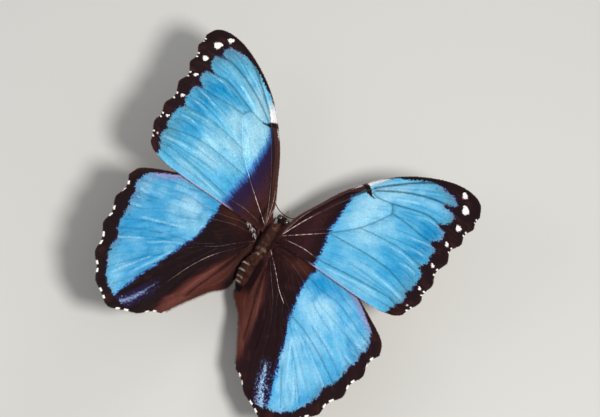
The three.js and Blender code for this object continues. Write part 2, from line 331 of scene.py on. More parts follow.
def tintedFinish(name, grain, shade, bump, blue=None, cells=None, **values):
    # the mesh's tint times a noise grain (scale, detail) between two shades; the grain is the bump too
    # (strength, millimetres) unless there are cells. Where the mesh has a blue number, the sockets in blue
    # follow it.
    finish, tree, shader = newFinish(name, **values)
    places = added(tree, "TexCoord", "Object", {})
    height = added(tree, "TexNoise", "Fac", {"Vector": places, "Scale": grain[0], "Detail": grain[1]})
    factor = added(tree, "MapRange", "Result", {"Value": height, "To Min": shade[0], "To Max": shade[1]})
    tint = added(tree, "Attribute", "Color", {}, attribute_name="tint")
    colour = added(tree, "VectorMath", "Vector", {0: tint, "Scale": factor}, operation="SCALE")
    tree.links.new(colour, shader.inputs["Base Color"])
    for socket, (low, high) in (blue or {}).items():
        share = added(tree, "Attribute", "Fac", {}, attribute_name="blue")
        amount = added(tree, "MapRange", "Result", {"Value": share, "To Min": low, "To Max": high})
        tree.links.new(amount, shader.inputs[socket])
    if cells:
        distance = added(tree, "TexVoronoi", "Distance", {"Vector": places, "Scale": cells})
        height = added(tree, "MapRange", "Result", {"Value": distance, "To Min": 1.0, "To Max": 0.0})
    relief = {"Height": height, "Strength": bump[0], "Distance": bump[1] * millimetre}
    tree.links.new(added(tree, "Bump", "Normal", relief), shader.inputs["Normal"])
    return finish


finishes = {
    "scales": tintedFinish(
        "wingScales", (2600, 2), (0.86, 1.14), (0.25, 0.03), Specular_IOR_Level=0.14,
        blue={"Roughness": (0.7, 0.52), "Metallic": (0.0, 0.25)}),
    "membrane": tintedFinish(
        "wingMembrane", (1800, 3), (0.75, 1.0), (0.4, 0.05), Specular_IOR_Level=0.1,
        blue={"Roughness": (0.75, 0.5)}),
    "veins": tintedFinish("wingVeins", (5000, 4), (0.8, 1.15), (0.3, 0.06), Roughness=0.5),
    "fringe": tintedFinish("wingFringe", (4000, 4), (0.85, 1.1), (0.2, 0.06), Roughness=0.7),
    "bodySkin": tintedFinish(
        "bodySkin", (3000, 4), (0.6, 1.2), (0.5, 0.06), Roughness=0.8, Specular_IOR_Level=0.15),
    "hair": tintedFinish(
        "bodyHair", (5000, 4), (0.8, 1.15), (0.2, 0.06), Roughness=0.6, Specular_IOR_Level=0.2),
    "horn": tintedFinish("legHorn", (4000, 4), (0.7, 1.2), (0.4, 0.06), Roughness=0.42),
    "eye": tintedFinish(
        "eyeLenses", (1500, 3), (0.6, 1.5), (0.35, 0.03), cells=9000, Roughness=0.22, Coat_Weight=0.8,
        Coat_Roughness=0.06, Specular_IOR_Level=0.6),
}

# Wing shapes: the same margins as the solids

forewing = {
    "rootFront": (0.2, 2.7),
    "costa": [
        (0.9, 8), (4.9, 15.2), (9.6, 23), (16, 30.2), (22.4, 35.5), (30, 39.3), (38, 41.5), (44.5, 41.3),
        (48.7, 39.2)],
    "veinEnds": [
        (50.5, 35.6), (50.7, 31), (49.9, 25), (49.2, 17.6), (48.9, 8.9), (48.4, 2.3), (45.7, -3.5)],
    "scallops": [0.2, 0.8, 1.2, 1, 0.7, 0.1],
    "innerMargin": [(43.6, -4.8), (38.5, -5.5), (31, -5), (20, -3.7), (10, -2.5)],
    "rootRear": (0.2, -1.5), "arch": 0.8, "fold": 0.0, "jointForward": 0.0, "jointHeight": 12.5, "seed": 11,
    "rows": 190, "columnsPerScallop": 31,
}
hindwing = {
    "rootFront": (0.2, 2),
    "costa": [(4, 5.4), (12, 7), (22, 4.4), (33.5, -2.3), (41.5, -7.2), (44.8, -10)],
    "veinEnds": [
        (46.1, -13.3), (45.3, -21.7), (43.6, -30.2), (40.3, -38.7), (34.9, -45.1), (27.3, -48.5),
        (18.6, -44.3), (12, -39)],
    "scallops": [1, 0.9, 1, 0.6, 0.4, 0.2, 0.3],
    "innerMargin": [(9.7, -34.8), (6.2, -28.8), (3.3, -24.4), (0.8, -20.4), (-0.6, -16.5), (-0.2, -10)],
    "rootRear": (0.2, -3), "arch": 0.5, "fold": 2.2, "jointForward": -3.35, "jointHeight": 11.0, "seed": 23,
    "rows": 190, "columnsPerScallop": 27,
}
wingJointReach = 2.9
# The four wings. Raise, sweep and lead are degrees; a shift is (base, extra, from, to), which stands for
# base + extra * eased(forward place, from, to)
wingKeys = ("node", "fore", "side", "raise", "sweep", "lead", "span", "basalShift", "borderShift", "haze")
wingShapes = {
    "ForeLeft": (
        "wing_fore_left", True, 1, 22.9, 1.5, -2.2, 1.0, (0.15, 0, 0, 1), (0, 0, 0, 1), (1.5, 0, 0, 1)),
    "ForeRight": (
        "wing_fore_right", True, -1, 18.7, -2, 3.4, 1.0, (-0.8, 0, 0, 1), (0.6, 0, 0, 1), (1.5, 0, 0, 1)),
    "HindLeft": (
        "wing_hind_left", False, 1, 23.4, 3.1, -1.9, 0.985, (0.35, 0.9, -16, -10), (0.4, -0.4, -18, -14),
        (1.5, 2.4, -26, -16)),
    "HindRight": (
        "wing_hind_right", False, -1, 18, -2.9, 0.5, 1.015, (-1.0, 0.7, -20, -12), (0.4, 0.6, -18, -13),
        (1.5, 0, 0, 1)),
}
# What each wing has of its own. Tones multiply, shares weigh the marks below, and blend stretches the steps
# from dark to blue, which start at indigoFrom and violetFrom. The wings are alike in life, so where tones,
# shares and vein shades differ between a left and a right wing they are painted light and shade: they make
# each wing as bright or dark as it is lit. The left forewing's low cellVeinShade leaves room for a painted
# highlight on that vein. frontStrip is a width and its gain towards the tip, whiteWidth a width and its loss
# for each millimetre, barShift a shift outward and forward. Fades and ends go from one place to another;
# tuckUnder is how far the inner margin goes under the abdomen, and tuckShade and brownShadow lay a painted
# shadow beside the abdomen and near the body.
wingTones = {
    "ForeLeft": {
        "hand": "Left", "skyTone": (0.95, 0.93, 0.875), "darkTone": 1.15, "deepShare": 1.0,
        "paleShare": 1.0, "veinShade": 0.9, "cellVeinShade": 0.15, "indigoBase": 0.35, "rustBase": 0.3,
        "blend": 2.6, "indigoFrom": -1.5, "violetFrom": -0.25, "frontRise": 0, "frontStrip": (2.7, 0),
        "barShift": (0, 0), "whiteWidth": (2.9, 0.16), "whiteFade": (37, 42),
    },
    "ForeRight": {
        "hand": "Right", "skyTone": (1.0, 1.01, 0.98), "darkTone": 1.15, "deepShare": 0.75,
        "paleShare": 1.0, "veinShade": 1.15, "cellVeinShade": 1.15, "indigoBase": 0, "rustBase": 0,
        "blend": 0.9, "indigoFrom": -0.5, "violetFrom": 0.1, "frontRise": -0.6, "frontStrip": (1.7, 0.9),
        "barShift": (-0.5, -0.75), "whiteWidth": (1.5, 0.1), "whiteFade": (38.5, 43.5),
    },
    "HindLeft": {
        "hand": "Left", "skyTone": (0.9, 0.9, 0.89), "darkTone": 0.85, "deepShare": 1.0, "paleShare": 0.75,
        "veinShade": 0.6, "cellVeinShade": 0.6, "indigoBase": 0, "rustBase": 0, "blend": 0.9,
        "indigoFrom": -0.5, "violetFrom": 0.1, "tuckUnder": 1.7, "tuckShade": (0.93, 0.97),
        "tuckEnd": (17, 22), "brownTone": 0.92, "brownShadow": 0.6, "speckCover": 0.4, "speckFrom": 0.96,
        "speckBeyond": 0, "streakFrom": 32, "streakGrain": 0.2, "streakSoft": 0.7, "streakPale": 0.5,
        "streakCover": 0.75,
    },
    "HindRight": {
        "hand": "Right", "skyTone": (1.03, 1.03, 1.02), "darkTone": 1.2, "deepShare": 0.75,
        "paleShare": 1.0, "veinShade": 1.0, "cellVeinShade": 1.0, "indigoBase": 0, "rustBase": 0,
        "blend": 0.9, "indigoFrom": -0.5, "violetFrom": 0.1, "tuckUnder": 2.5, "tuckShade": (0.87, 0.92),
        "tuckEnd": (14, 18.5), "brownTone": 0.84, "brownShadow": 0.2, "speckCover": 0.75, "speckFrom": 0.8,
        "speckBeyond": 0.7, "streakFrom": 30, "streakGrain": 0.42, "streakSoft": 0.35, "streakPale": 0.9,
        "streakCover": 0.85,
    },
}
wings = {name: {**dict(zip(wingKeys, shape)), **wingTones[name]} for name, shape in wingShapes.items()}
membrane = {
    "thickness": 0.12, "edgeThickness": 0.05, "edgeReach": 0.03,
    "pillow": 0.3, "pillowReach": 1.5,     # how far the skin swells between two veins
    "streak": 0.1, "wrinkle": 0.045, "foldDepth": 0.13, "ridgeHeight": 0.16,
    "rootReach": 2.0,                      # how far the wing's root goes into the body
}

# Veins: places outward and forward in the wing's plane; radius at the root and at the end; how pale the
# root is on the left and on the right wing, partly pale scales and partly a painted highlight that differs
# between the sides; how dark it is over the blue, and how wide that shade is
foreVeins = {
    "subcosta": (
        [(0.3, 2.3), (2.6, 9.6), (6.6, 17), (11.2, 23.9), (16.2, 29.6), (20.8, 33.7)], 0.2, 0.12, 0.5, 0.3,
        0.5, 0.2),
    "radius": (
        [(0.4, 1.6), (3.9, 8.4), (8.0, 15.2), (12.4, 21.6), (16.2, 26.9), (17.6, 28)], 0.2, 0.15, 0.2, 0.95,
        0.7, 0.25),
    "radius1": (
        [(17.2, 28.2), (21, 31.3), (26, 34.9), (31, 37.9), (34.6, 39.4)], 0.15, 0.12, 0, 0, 1.0, 0.36),
    "radius2": (
        [(17.6, 28), (24.7, 32.2), (33.1, 36), (40, 38.6), (46, 40.2)], 0.12, 0.08, 0, 0, 0.3, 0.2),
    "radius3": (
        [(24.4, 30.6), (30, 32.9), (36.5, 35.6), (43, 37), (50.2, 37.2)], 0.11, 0.08, 0, 0, 0.35, 0.2),
    "media1": (
        [(17.9, 27.5), (21.4, 29.3), (26.6, 31.6), (33, 33.4), (38, 34.1), (41, 33.8), (44, 32.4),
        (50.7, 31)], 0.12, 0.12, 0, 0, 0.95, 0.34),
    "media2": (
        [(24.8, 26.2), (30, 27.3), (34.5, 28.1), (38.5, 28), (42, 27.1), (49.9, 25)], 0.14, 0.1, 0, 0, 0.85,
        0.27),
    "media3": (
        [(26.4, 23.4), (32, 22.7), (37.2, 21.6), (42.6, 20.6), (49.2, 17.6)], 0.14, 0.09, 0, 0, 0.75, 0.24),
    "cubitus": (
        [(0.4, 0.7), (5.6, 3.9), (10, 6.6), (13.6, 9), (19.5, 13.6), (23.6, 18.5), (26.6, 23)], 0.2, 0.15,
        1.0, 0.9, 0.7, 0.22),
    "cubitus1": (
        [(20.4, 14.4), (28, 14.8), (35, 14.6), (40, 13.5), (44.3, 12.2), (48.9, 8.9)], 0.14, 0.09, 0, 0,
        0.6, 0.22),
    "cubitus2": (
        [(13.0, 8.3), (20, 8.2), (28, 7.9), (35, 6.9), (40, 5.2), (44.4, 3.4), (48.4, 2.3)], 0.15, 0.09, 0,
        0, 0.7, 0.22),
    "anal": (
        [(0.4, 0), (8.5, 0.3), (15, -0.5), (26, -0.3), (34, -0.4), (40.5, -0.9), (45.7, -3.5)], 0.2, 0.09,
        0.15, 1.0, 0.7, 0.22),
    "cellEnd": (
        [(17.6, 26.9), (19.3, 26), (21.5, 25.9), (24.4, 26.1), (26, 24.8), (26.5, 23.2)], 0.15, 0.12, 0, 0,
        0.8, 0.22),
}
hindVeins = {
    "costal": (
        [(0.5, 1.3), (7, 4.6), (16, 4.2), (27, -0.6), (36, -5.4), (44.8, -10)], 0.2, 0.09, 0.06, 0.02, 0.2,
        0.2),
    "radial": (
        [(0.5, 0.6), (7, 0.2), (14, -2.6), (20, -4.5), (27, -5.6), (33, -8), (38, -10.5), (46.1, -13.3)],
        0.2, 0.09, 0.05, 0.04, 0.6, 0.2),
    "media1": (
        [(0.6, -0.3), (4.5, -1.1), (9, -2.4), (15.1, -5.4), (24, -9.4), (32.3, -12.4), (37, -14.6),
        (42, -17), (45.3, -21.7)], 0.2, 0.08, 0.06, 0.03, 0.35, 0.2),
    "media2": (
        [(9.6, -10.4), (16.5, -15.8), (22, -18), (28, -21), (33, -24), (39, -27.9), (43.6, -30.2)], 0.14,
        0.09, 0, 0, 0.65, 0.24),
    "media3": (
        [(13.3, -14.5), (18.5, -19.5), (24.6, -25), (31, -31.2), (36, -35.6), (40.3, -38.7)], 0.13, 0.08, 0,
        0, 0.35, 0.2),
    "cubitus": (
        [(0.4, -1.9), (5, -6.5), (9.2, -11.1), (13.3, -14.5)], 0.17, 0.13, 0.1, 1.1, 0, 0.2),
    "cubitus1": (
        [(11.4, -12.8), (16.5, -20.5), (22, -30), (28, -38.5), (34.9, -45.1)], 0.13, 0.08, 0, 0, 0.3, 0.2),
    "cubitus2": (
        [(8.6, -10.6), (13, -19), (18.5, -30.5), (23, -40), (27.3, -48.5)], 0.14, 0.08, 0.06, 0.06, 0, 0.2),
    "anal2": (
        [(0.5, -2.8), (5, -9), (9.6, -15.2), (13.1, -22), (16.8, -32), (18.8, -38.2), (18.6, -44.3)], 0.17,
        0.1, 0.9, 0.1, 0, 0.2),
    "anal3": (
        [(0.3, -3), (3, -11), (6.2, -18), (9.2, -25), (11.6, -33.5), (12, -39)], 0.16, 0.08, 0.06, 0.25, 0,
        0.2),
}


# fine creases between the veins and raised lines, in the wing's plane, with their half width; the
# creases are also painted darker as shade and the raised lines paler as highlight
foreFolds = [
    ([(22, 3), (28, 2.6), (33.5, 1.7), (40, 0.8), (44.2, -0.7)], 0.26),
    ([(24, 1.5), (32, 0.8), (39, 0), (43.6, -1.6)], 0.2),
    ([(27.5, 15.8), (36.2, 16.9), (43.8, 16.5)], 0.22), ([(29, 19), (36, 19.9), (43, 18.8)], 0.2),
    ([(33, 17.8), (38, 18.3), (43.6, 17.2)], 0.16),
    ([(28, 24.5), (34, 25.2), (40, 24.4), (44, 22.6)], 0.24), ([(30, 25.9), (35.5, 26.7), (41, 25.9)], 0.2),
    ([(29, 23.6), (36, 23.6), (43, 22)], 0.16), ([(27, 28.6), (34, 29.8), (40, 29.9), (44, 29)], 0.2),
    ([(31, 12), (37, 11.6), (44, 10)], 0.2), ([(34, 9.6), (40, 8.8), (44.6, 7)], 0.22),
    ([(30, 34.4), (36, 36.6), (41.5, 37.6)], 0.2),
    ([(21.5, -2.2), (29, -2.6), (37, -3.1), (42, -3.4)], 0.22),
    ([(24, 5), (33, 4.6), (40, 2.9), (44.2, 1.8)], 0.18), ([(19, 29.8), (24, 32.9), (29, 35.4)], 0.18),
]
foreRidges = [
    ([(22.8, 27.2), (24.9, 28), (28.6, 29.3), (32.8, 30.4)], 0.4),
    ([(16, -1.9), (22, -1.7), (30, -1.4), (36, -1.6)], 0.3),
    ([(34, 18.9), (38.5, 19.5), (43.4, 19.9)], 0.22), ([(30, 3.6), (37, 2.4), (44.2, 0.3)], 0.34),
    ([(36, 10.2), (40, 10.3), (43.6, 9.2)], 0.24), ([(35.5, 16), (40, 16.1), (43.8, 15.4)], 0.2),
    ([(33, 26), (38, 26.9), (42.4, 26.2)], 0.2), ([(30, 13.4), (36, 13.4), (42, 11.8)], 0.2),
]
hindFolds = [
    ([(33, -12.2), (37.5, -14.4), (42.2, -15.2)], 0.2), ([(34, -14), (38, -16.4), (42, -18.2)], 0.22),
    ([(33, -16.6), (38, -19.6), (41.6, -21)], 0.2),
    ([(23, -15.6), (30, -18.9), (36, -22.7), (40.4, -26)], 0.24),
    ([(21, -19.5), (28, -22.9), (33.6, -27.2), (38.8, -31)], 0.2),
    ([(21.5, -24), (28, -31), (34.6, -39.6)], 0.22), ([(22.6, -29.7), (26.5, -37), (30.8, -43.6)], 0.22),
    ([(25, -28.6), (30.6, -35.4), (34.2, -41.6)], 0.18), ([(24, -6.9), (32, -10), (39, -12.4)], 0.18),
    ([(18, -8), (25, -12.4), (31, -15)], 0.18), ([(24, -2), (32, -5.2), (40.4, -9)], 0.2),
    ([(12.5, -16.5), (16.6, -24), (21, -33.5), (24.5, -41)], 0.3),
    ([(1.4, -6), (2.6, -12), (4.4, -18)], 0.5), ([(6, -11), (9.4, -18), (12.4, -27), (13.8, -35)], 0.4),
    ([(3.4, -15), (6.2, -23), (9, -31)], 0.3),
]
hindRidges = [
    ([(37, -11.4), (39.6, -12.2), (42.2, -12.9)], 0.22),
    ([(36.5, -13.4), (39.4, -14.1), (42.4, -14.2)], 0.22),
    ([(36.6, -15.7), (39, -16.8), (41.6, -17.3)], 0.2), ([(36, -18), (39, -19.4), (41.4, -19.9)], 0.24),
    ([(20, -13.2), (28, -17.4), (36, -21.4)], 0.3), ([(30, -25), (35, -28.6), (38.8, -31.8)], 0.25),
    ([(20.3, -21.4), (24, -29), (28, -37)], 0.34), ([(24.6, -27), (29, -34), (33, -41)], 0.26),
    ([(1, -5), (3.6, -12), (6.8, -20), (10.4, -31)], 0.34),
    ([(5.4, -8.6), (9, -16.4), (12, -24), (14.5, -34)], 0.3),
    ([(18.5, -17.6), (24, -21.6), (30, -26.6)], 0.26),
]


def foldsAt(wing, a, b):
    # how deep a place lies in a crease and how high on a ridge: 1 on its line, exp(-(distance / width)^2)
    # beside it, fading at the line's two ends
    found = []
    for lines in ((foreFolds, foreRidges) if wing["fore"] else (hindFolds, hindRidges)):
        total = np.zeros(a.size)
        for places, width in lines:
            path = evenSpline(places, 30)
            gap = pathGap(path, a.ravel(), b.ravel())
            ends = np.minimum(*[np.hypot(a.ravel() - x, b.ravel() - y) for x, y in path[[0, -1]]])
            total = np.maximum(total, np.exp(-(gap / width) ** 2) * eased(ends, 0, 2.5))
        found.append(total.reshape(a.shape))
    return found


def wingMargins(shape):
    # the four margins as tables of places against a share from 0 to 1. The outer one runs through the vein
    # ends and draws in between them by scallop depth * sin(pi * share of the span)^1.6
    steps = 1600
    shares = np.linspace(0, 1, steps + 1)
    ends = shape["veinEnds"]
    spans = len(ends) - 1
    line = splineAt(ends, shares)
    along = unit(np.gradient(line, axis=0))
    span = np.minimum((shares * spans).astype(int), spans - 1)
    depth = (np.array(shape["scallops"])[span] + 0.3) * np.sin(math.pi * (shares * spans - span)) ** 1.6
    return {
        "front": evenSpline([shape["rootFront"], *shape["costa"], ends[0]], steps),
        "inner": evenSpline([shape["rootRear"], *shape["innerMargin"][::-1], ends[-1]], steps),
        "root": evenSpline([shape["rootFront"], shape["rootRear"]], steps),
        "outer": line + np.stack([along[:, 1], -along[:, 0]], 1) * depth[:, None],
    }


def planePlace(margins, u, v):
    # a Coons patch: facing margins blended by u and v, less the blend of the four corners
    shares = np.linspace(0, 1, len(margins["front"]))
    front, inner, root, outer = (
        np.stack([np.interp(t, shares, margins[name][:, i]) for i in (0, 1)], -1)
        for name, t in (("front", u), ("inner", u), ("root", v), ("outer", v)))
    u, v = u[..., None], v[..., None]
    corners = (
        margins["root"][0] * (1 - u) * (1 - v) + margins["root"][-1] * (1 - u) * v
        + margins["outer"][0] * u * (1 - v) + margins["outer"][-1] * u * v)
    return front * (1 - v) + inner * v + root * (1 - u) + outer * u - corners


def wingTurn(wing):
    # led about the axis across the body, then swept about the upright one, then raised about the body's own
    steps = ((-wing["side"] * wing["raise"], "Y"), (-wing["side"] * wing["sweep"], "Z"), (-wing["lead"], "X"))
    turn = Matrix.Identity(3)
    for degrees, axis in steps:
        turn = turn @ Matrix.Rotation(math.radians(degrees), 3, axis)
    return np.array(turn)


def veinFields(wing, veins, a, b):
    # distance to the nearest vein, and how dark the veins' own shades are: darkness * exp(-(distance /
    # width)^2)
    gap, shade = np.full(a.size, 99.0), np.zeros(a.size)
    for key, (places, _, _, _, _, darkness, width) in veins.items():
        near = np.abs(splineGap(places, 26, a.ravel(), b.ravel()))
        gap = np.minimum(gap, near)
        darkness = darkness * wing["cellVeinShade" if key == "cubitus" else "veinShade"]
        shade = np.maximum(shade, darkness * np.exp(-(near / width) ** 2))
    return gap.reshape(a.shape), shade.reshape(a.shape)


def wingSheet(name):
    # the middle surface of a wing on a grid of u (root to margin) and v (front to inner margin): the
    # plate's arch and fold, plus a swelling between the veins, streaks along them and a fine wrinkle
    wing = wings[name]
    shape, veins = (forewing, foreVeins) if wing["fore"] else (hindwing, hindVeins)
    margins = wingMargins(shape)
    rows, columns = shape["rows"], shape["columnsPerScallop"] * len(shape["scallops"])
    u, v = np.meshgrid(np.linspace(0, 1, rows + 1), np.linspace(0, 1, columns + 1), indexing="ij")
    flat = planePlace(margins, u, v)
    a, b = flat[..., 0], flat[..., 1]
    a -= membrane["rootReach"] * (1 - eased(u, 0, 0.05))
    if not wing["fore"]:
        a -= wing["tuckUnder"] * eased(v, 0.93, 1) * eased(-b, 1, 6) * (1 - eased(-b, 18, 24))
    gap, shade = veinFields(wing, veins, a, b)
    folds, ridges = foldsAt(wing, a, b)
    seed = shape["seed"]
    streaks = latticeNoise(v * 46, u * 6, seed) + 0.6 * latticeNoise(v * 95, u * 11, seed + 1)
    wrinkles = latticeNoise(v * 170, u * 60, seed + 2)
    inside = eased(u, 0.0, 0.12) * eased(1 - u, 0, 0.03) * eased(v, 0, 0.04) * eased(1 - v, 0, 0.04)
    arch = shape["arch"] * np.sin(math.pi * u) * np.sin(math.pi * v) ** 2
    fold = shape["fold"] * eased(v, 0.6, 1) * np.sin(math.pi * np.minimum(u * 1.4, 1))
    height = arch - fold + inside * (
        membrane["pillow"] * (1 - np.exp(-(gap / membrane["pillowReach"]) ** 2))
        + membrane["streak"] * streaks * eased(u, 0.4, 0.8) + membrane["wrinkle"] * wrinkles
        - membrane["foldDepth"] * folds + membrane["ridgeHeight"] * ridges)
    edge = np.minimum.reduce([u + 0.02, 1 - u, v, 1 - v])
    thin, full = membrane["edgeThickness"], membrane["thickness"]
    turn = wingTurn(wing)
    joint = place(wing["side"] * wingJointReach, shape["jointForward"], shape["jointHeight"])
    middle = np.stack([wing["side"] * wing["span"] * a, -b, height], -1) @ turn.T + joint
    return {
        "name": name, "wing": wing, "shape": shape, "margins": margins, "veins": veins, "middle": middle,
        "upward": turn @ np.array([0, 0, 1.0]), "u": u, "v": v, "a": a, "b": b, "flat": flat, "gap": gap,
        "shade": shade, "folds": folds, "ridges": ridges,
        "thick": thin + (full - thin) * eased(edge, 0, membrane["edgeReach"]),
    }


def sheetAt(sheet, values, u, v):
    # values on the wing's grid, blended between the four nearest grid points
    rows, columns = np.array(sheet["u"].shape) - 1
    i, j = np.clip(u * rows, 0, rows - 1e-6), np.clip(v * columns, 0, columns - 1e-6)
    row, column = i.astype(int), j.astype(int)
    s, t = i - row, j - column
    if values.ndim == 3:
        s, t = s[:, None], t[:, None]
    near = values[row, column] * (1 - t) + values[row, column + 1] * t
    far = values[row + 1, column] * (1 - t) + values[row + 1, column + 1] * t
    return near * (1 - s) + far * s


def stepOver(sheet, u, v, du, dv):
    # the way over the middle surface from a step of du and dv behind each place to one ahead of it
    ahead = sheetAt(sheet, sheet["middle"], np.minimum(u + du, 1), np.minimum(v + dv, 1))
    return ahead - sheetAt(sheet, sheet["middle"], np.maximum(u - du, 0), np.maximum(v - dv, 0))


sheetFields = ("a", "b", "gap", "shade", "folds", "ridges")


def fieldsAt(sheet, u, v):
    # everything the colour functions read, at places given by u and v
    return {**{key: sheetAt(sheet, sheet[key], u, v) for key in sheetFields}, "u": u, "v": v}


def sharesOf(sheet, places):
    # u and v of places in the wing's plane: the nearest grid point, then four Newton steps
    flat = sheet["flat"]
    nearest = ((places[:, None] - flat.reshape(1, -1, 2)[:, ::3]) ** 2).sum(2).argmin(1) * 3
    uv = np.stack([sheet["u"].ravel()[nearest], sheet["v"].ravel()[nearest]], 1)
    step = 1e-3
    for _ in range(4):
        off = places - sheetAt(sheet, flat, *uv.T)
        back = np.clip(uv, 0, 1 - step)
        base = sheetAt(sheet, flat, *back.T)
        du, dv = ((sheetAt(sheet, flat, *(back + move).T) - base) / step for move in ((step, 0), (0, step)))
        size = du[:, 0] * dv[:, 1] - du[:, 1] * dv[:, 0]
        size = np.where(np.abs(size) < 1e-6, 1e-6, size)
        uv = np.clip(uv + np.stack([
            (off[:, 0] * dv[:, 1] - off[:, 1] * dv[:, 0]) / size,
            (du[:, 0] * off[:, 1] - du[:, 1] * off[:, 0]) / size], 1), 0, 1)
    return uv


def liftedAt(sheet, places):
    # places in the wing's plane as points on the middle surface, and their u and v
    uv = sharesOf(sheet, places)
    return sheetAt(sheet, sheet["middle"], *uv.T), uv


def unwrapAt(sheet, a, b):
    # the wing laid flat in a square: places from its own corner, divided by its longer side
    size = max(np.ptp(sheet["a"]), np.ptp(sheet["b"])) * 1.04
    return np.stack([(a - sheet["a"].min()) / size, (b - sheet["b"].min()) / size], -1) + 0.01


# Wing colours. Lengths are millimetres in the wing's plane.

wingPaint = paints(
    paleSky="a6e0fc", sky="60bcea", deepSky="1496d4", violetBlue="3a74bc", indigo="241844", ink="1b090d",
    brownBlack="30151a", redBrown="55291f", foldBrown="7d4840", costalBrown="5e3328", lavender="8f8cc6",
    white="fbf6f4", dullSky="57879e", pinkBlue="c0a4c6")
# Marks of the wings in their plane: edges and bars as lines; hills as place, reach outward and forward, and
# how far the blue deepens, pales or dulls there; brown as its share of the dark ground and the distances
# from the blue at which it starts and is full. The deep and pale hills are largely painted shade and
# painted sheen, where the wing's curve turns the blue away from the light or towards it; those kept for one
# hand paint how differently the left and the right wings are lit
foreMarks = {
    "brown": (1, 0, 6), "rust": [],
    "innerEdge": [
        (12.6, 30.5), (15.4, 27.7), (14.4, 25.4), (13.4, 22), (13.2, 17.4), (13.4, 12.1), (12.9, 8.8),
        (13.9, 5.6), (14.3, 1.7), (14.4, -1.5), (15, -5)],
    "borderEdge": [
        (31.5, 40.6), (34, 39.4), (37, 38.9), (40.3, 38.2), (42.4, 37), (43, 35.4), (42.2, 34.3),
        (39.5, 33.9), (42.6, 33.3), (44.5, 31.4), (44.4, 29.3), (42.9, 27.8), (41.4, 27.1), (43.6, 26.4),
        (44.6, 24.7), (44.2, 22.6), (42.4, 20.8), (44.2, 19.7), (44.6, 16.6), (44.4, 14), (43.4, 12.3),
        (44.8, 11), (45.1, 7), (44.8, 4.4), (43.9, 3.3), (44.7, 2), (44.3, -0.4), (43, -2.2), (41.9, -4.2),
        (41.5, -6.5)],
    # place, half length and half width of blunt drops that slant towards the tip's rear, and strength
    "spots": [
        (43.0, 39.6, 1.2, 0.7, 1), (45.6, 35.4, 1.6, 0.98, 1), (46.7, 29.2, 1.12, 0.78, 1),
        (46.3, 22.8, 0.82, 0.46, 1), (46.0, 14.7, 0.68, 0.4, 1), (46.2, 6.4, 0.6, 0.36, 0.95),
        (45.7, -0.2, 0.4, 0.28, 0.6)],
    "spotHeading": (0.62, -0.78),
    "bar": [(14.2, 28.7), (15.8, 28.1), (17.0, 27.2), (18.2, 26.3), (19.4, 26)],
    "barWidth": 0.9,
    "deep": [
        (35.5, 24.6, 6, 2.6, 0.8), (39.5, 20, 4, 5, 0.75), (38.5, 7.5, 5, 4, 0.75),
        (17.6, 1.8, 2.4, 4.4, 0.5), (33, 28.9, 5, 1.2, 0.35), (40, 14, 4, 3, 0.5)],
    "deepLeft": [
        (28, 26.5, 3, 2, 0.3), (38, 32, 4, 3, 0.2), (39, 16.5, 3, 2.5, 0.35), (35, 26, 3.4, 2, 0.3),
        (41.5, 0.5, 3, 3.5, 0.3)],
    "deepRight": [
        (33, 11.5, 3.6, 2.6, 0.5), (35.5, 6, 4, 2, 0.45), (23, 26.5, 3, 3, 0.3), (29, 22.5, 3, 2, 0.4),
        (41, 24, 2.4, 3.6, 0.8), (39, 16.5, 3.4, 2.6, 0.45)],
    "paleLeft": [
        (31, 10.6, 4.5, 2.8, 0.7), (31, 5.6, 5, 2, 0.7), (27, 20.5, 5, 3, 0.4), (25, 6.4, 3, 2, 0.4),
        (21, 31, 2.4, 2, 0.4)],
    "paleRight": [(20, 2, 3, 2, 0.3)],
    "pale": [
        (19, 19, 4.5, 7, 1.0), (26, 20, 5, 3, 0.5), (24, 12, 5, 3, 0.6), (27, 5, 6, 1.9, 0.5),
        (23.5, 30.4, 5, 2.6, 1.0), (34, 32, 5, 1.6, 0.5), (31, -2.6, 9, 1.3, 0.5), (22, 25, 4, 3, 0.6),
        (27, 34.4, 4, 1.2, 0.4)],
    "dull": [
        (41, 36.4, 3.4, 2.2, 0.95), (43.2, 31, 1.8, 2.4, 0.7), (43.6, 24.5, 1.2, 1.6, 0.4),
        (28, 37.4, 5, 0.9, 0.6), (43, 2, 2.2, 6, 0.6), (36, 37.6, 3, 1, 0.4), (41.5, 14, 2.8, 16, 0.3)],
}
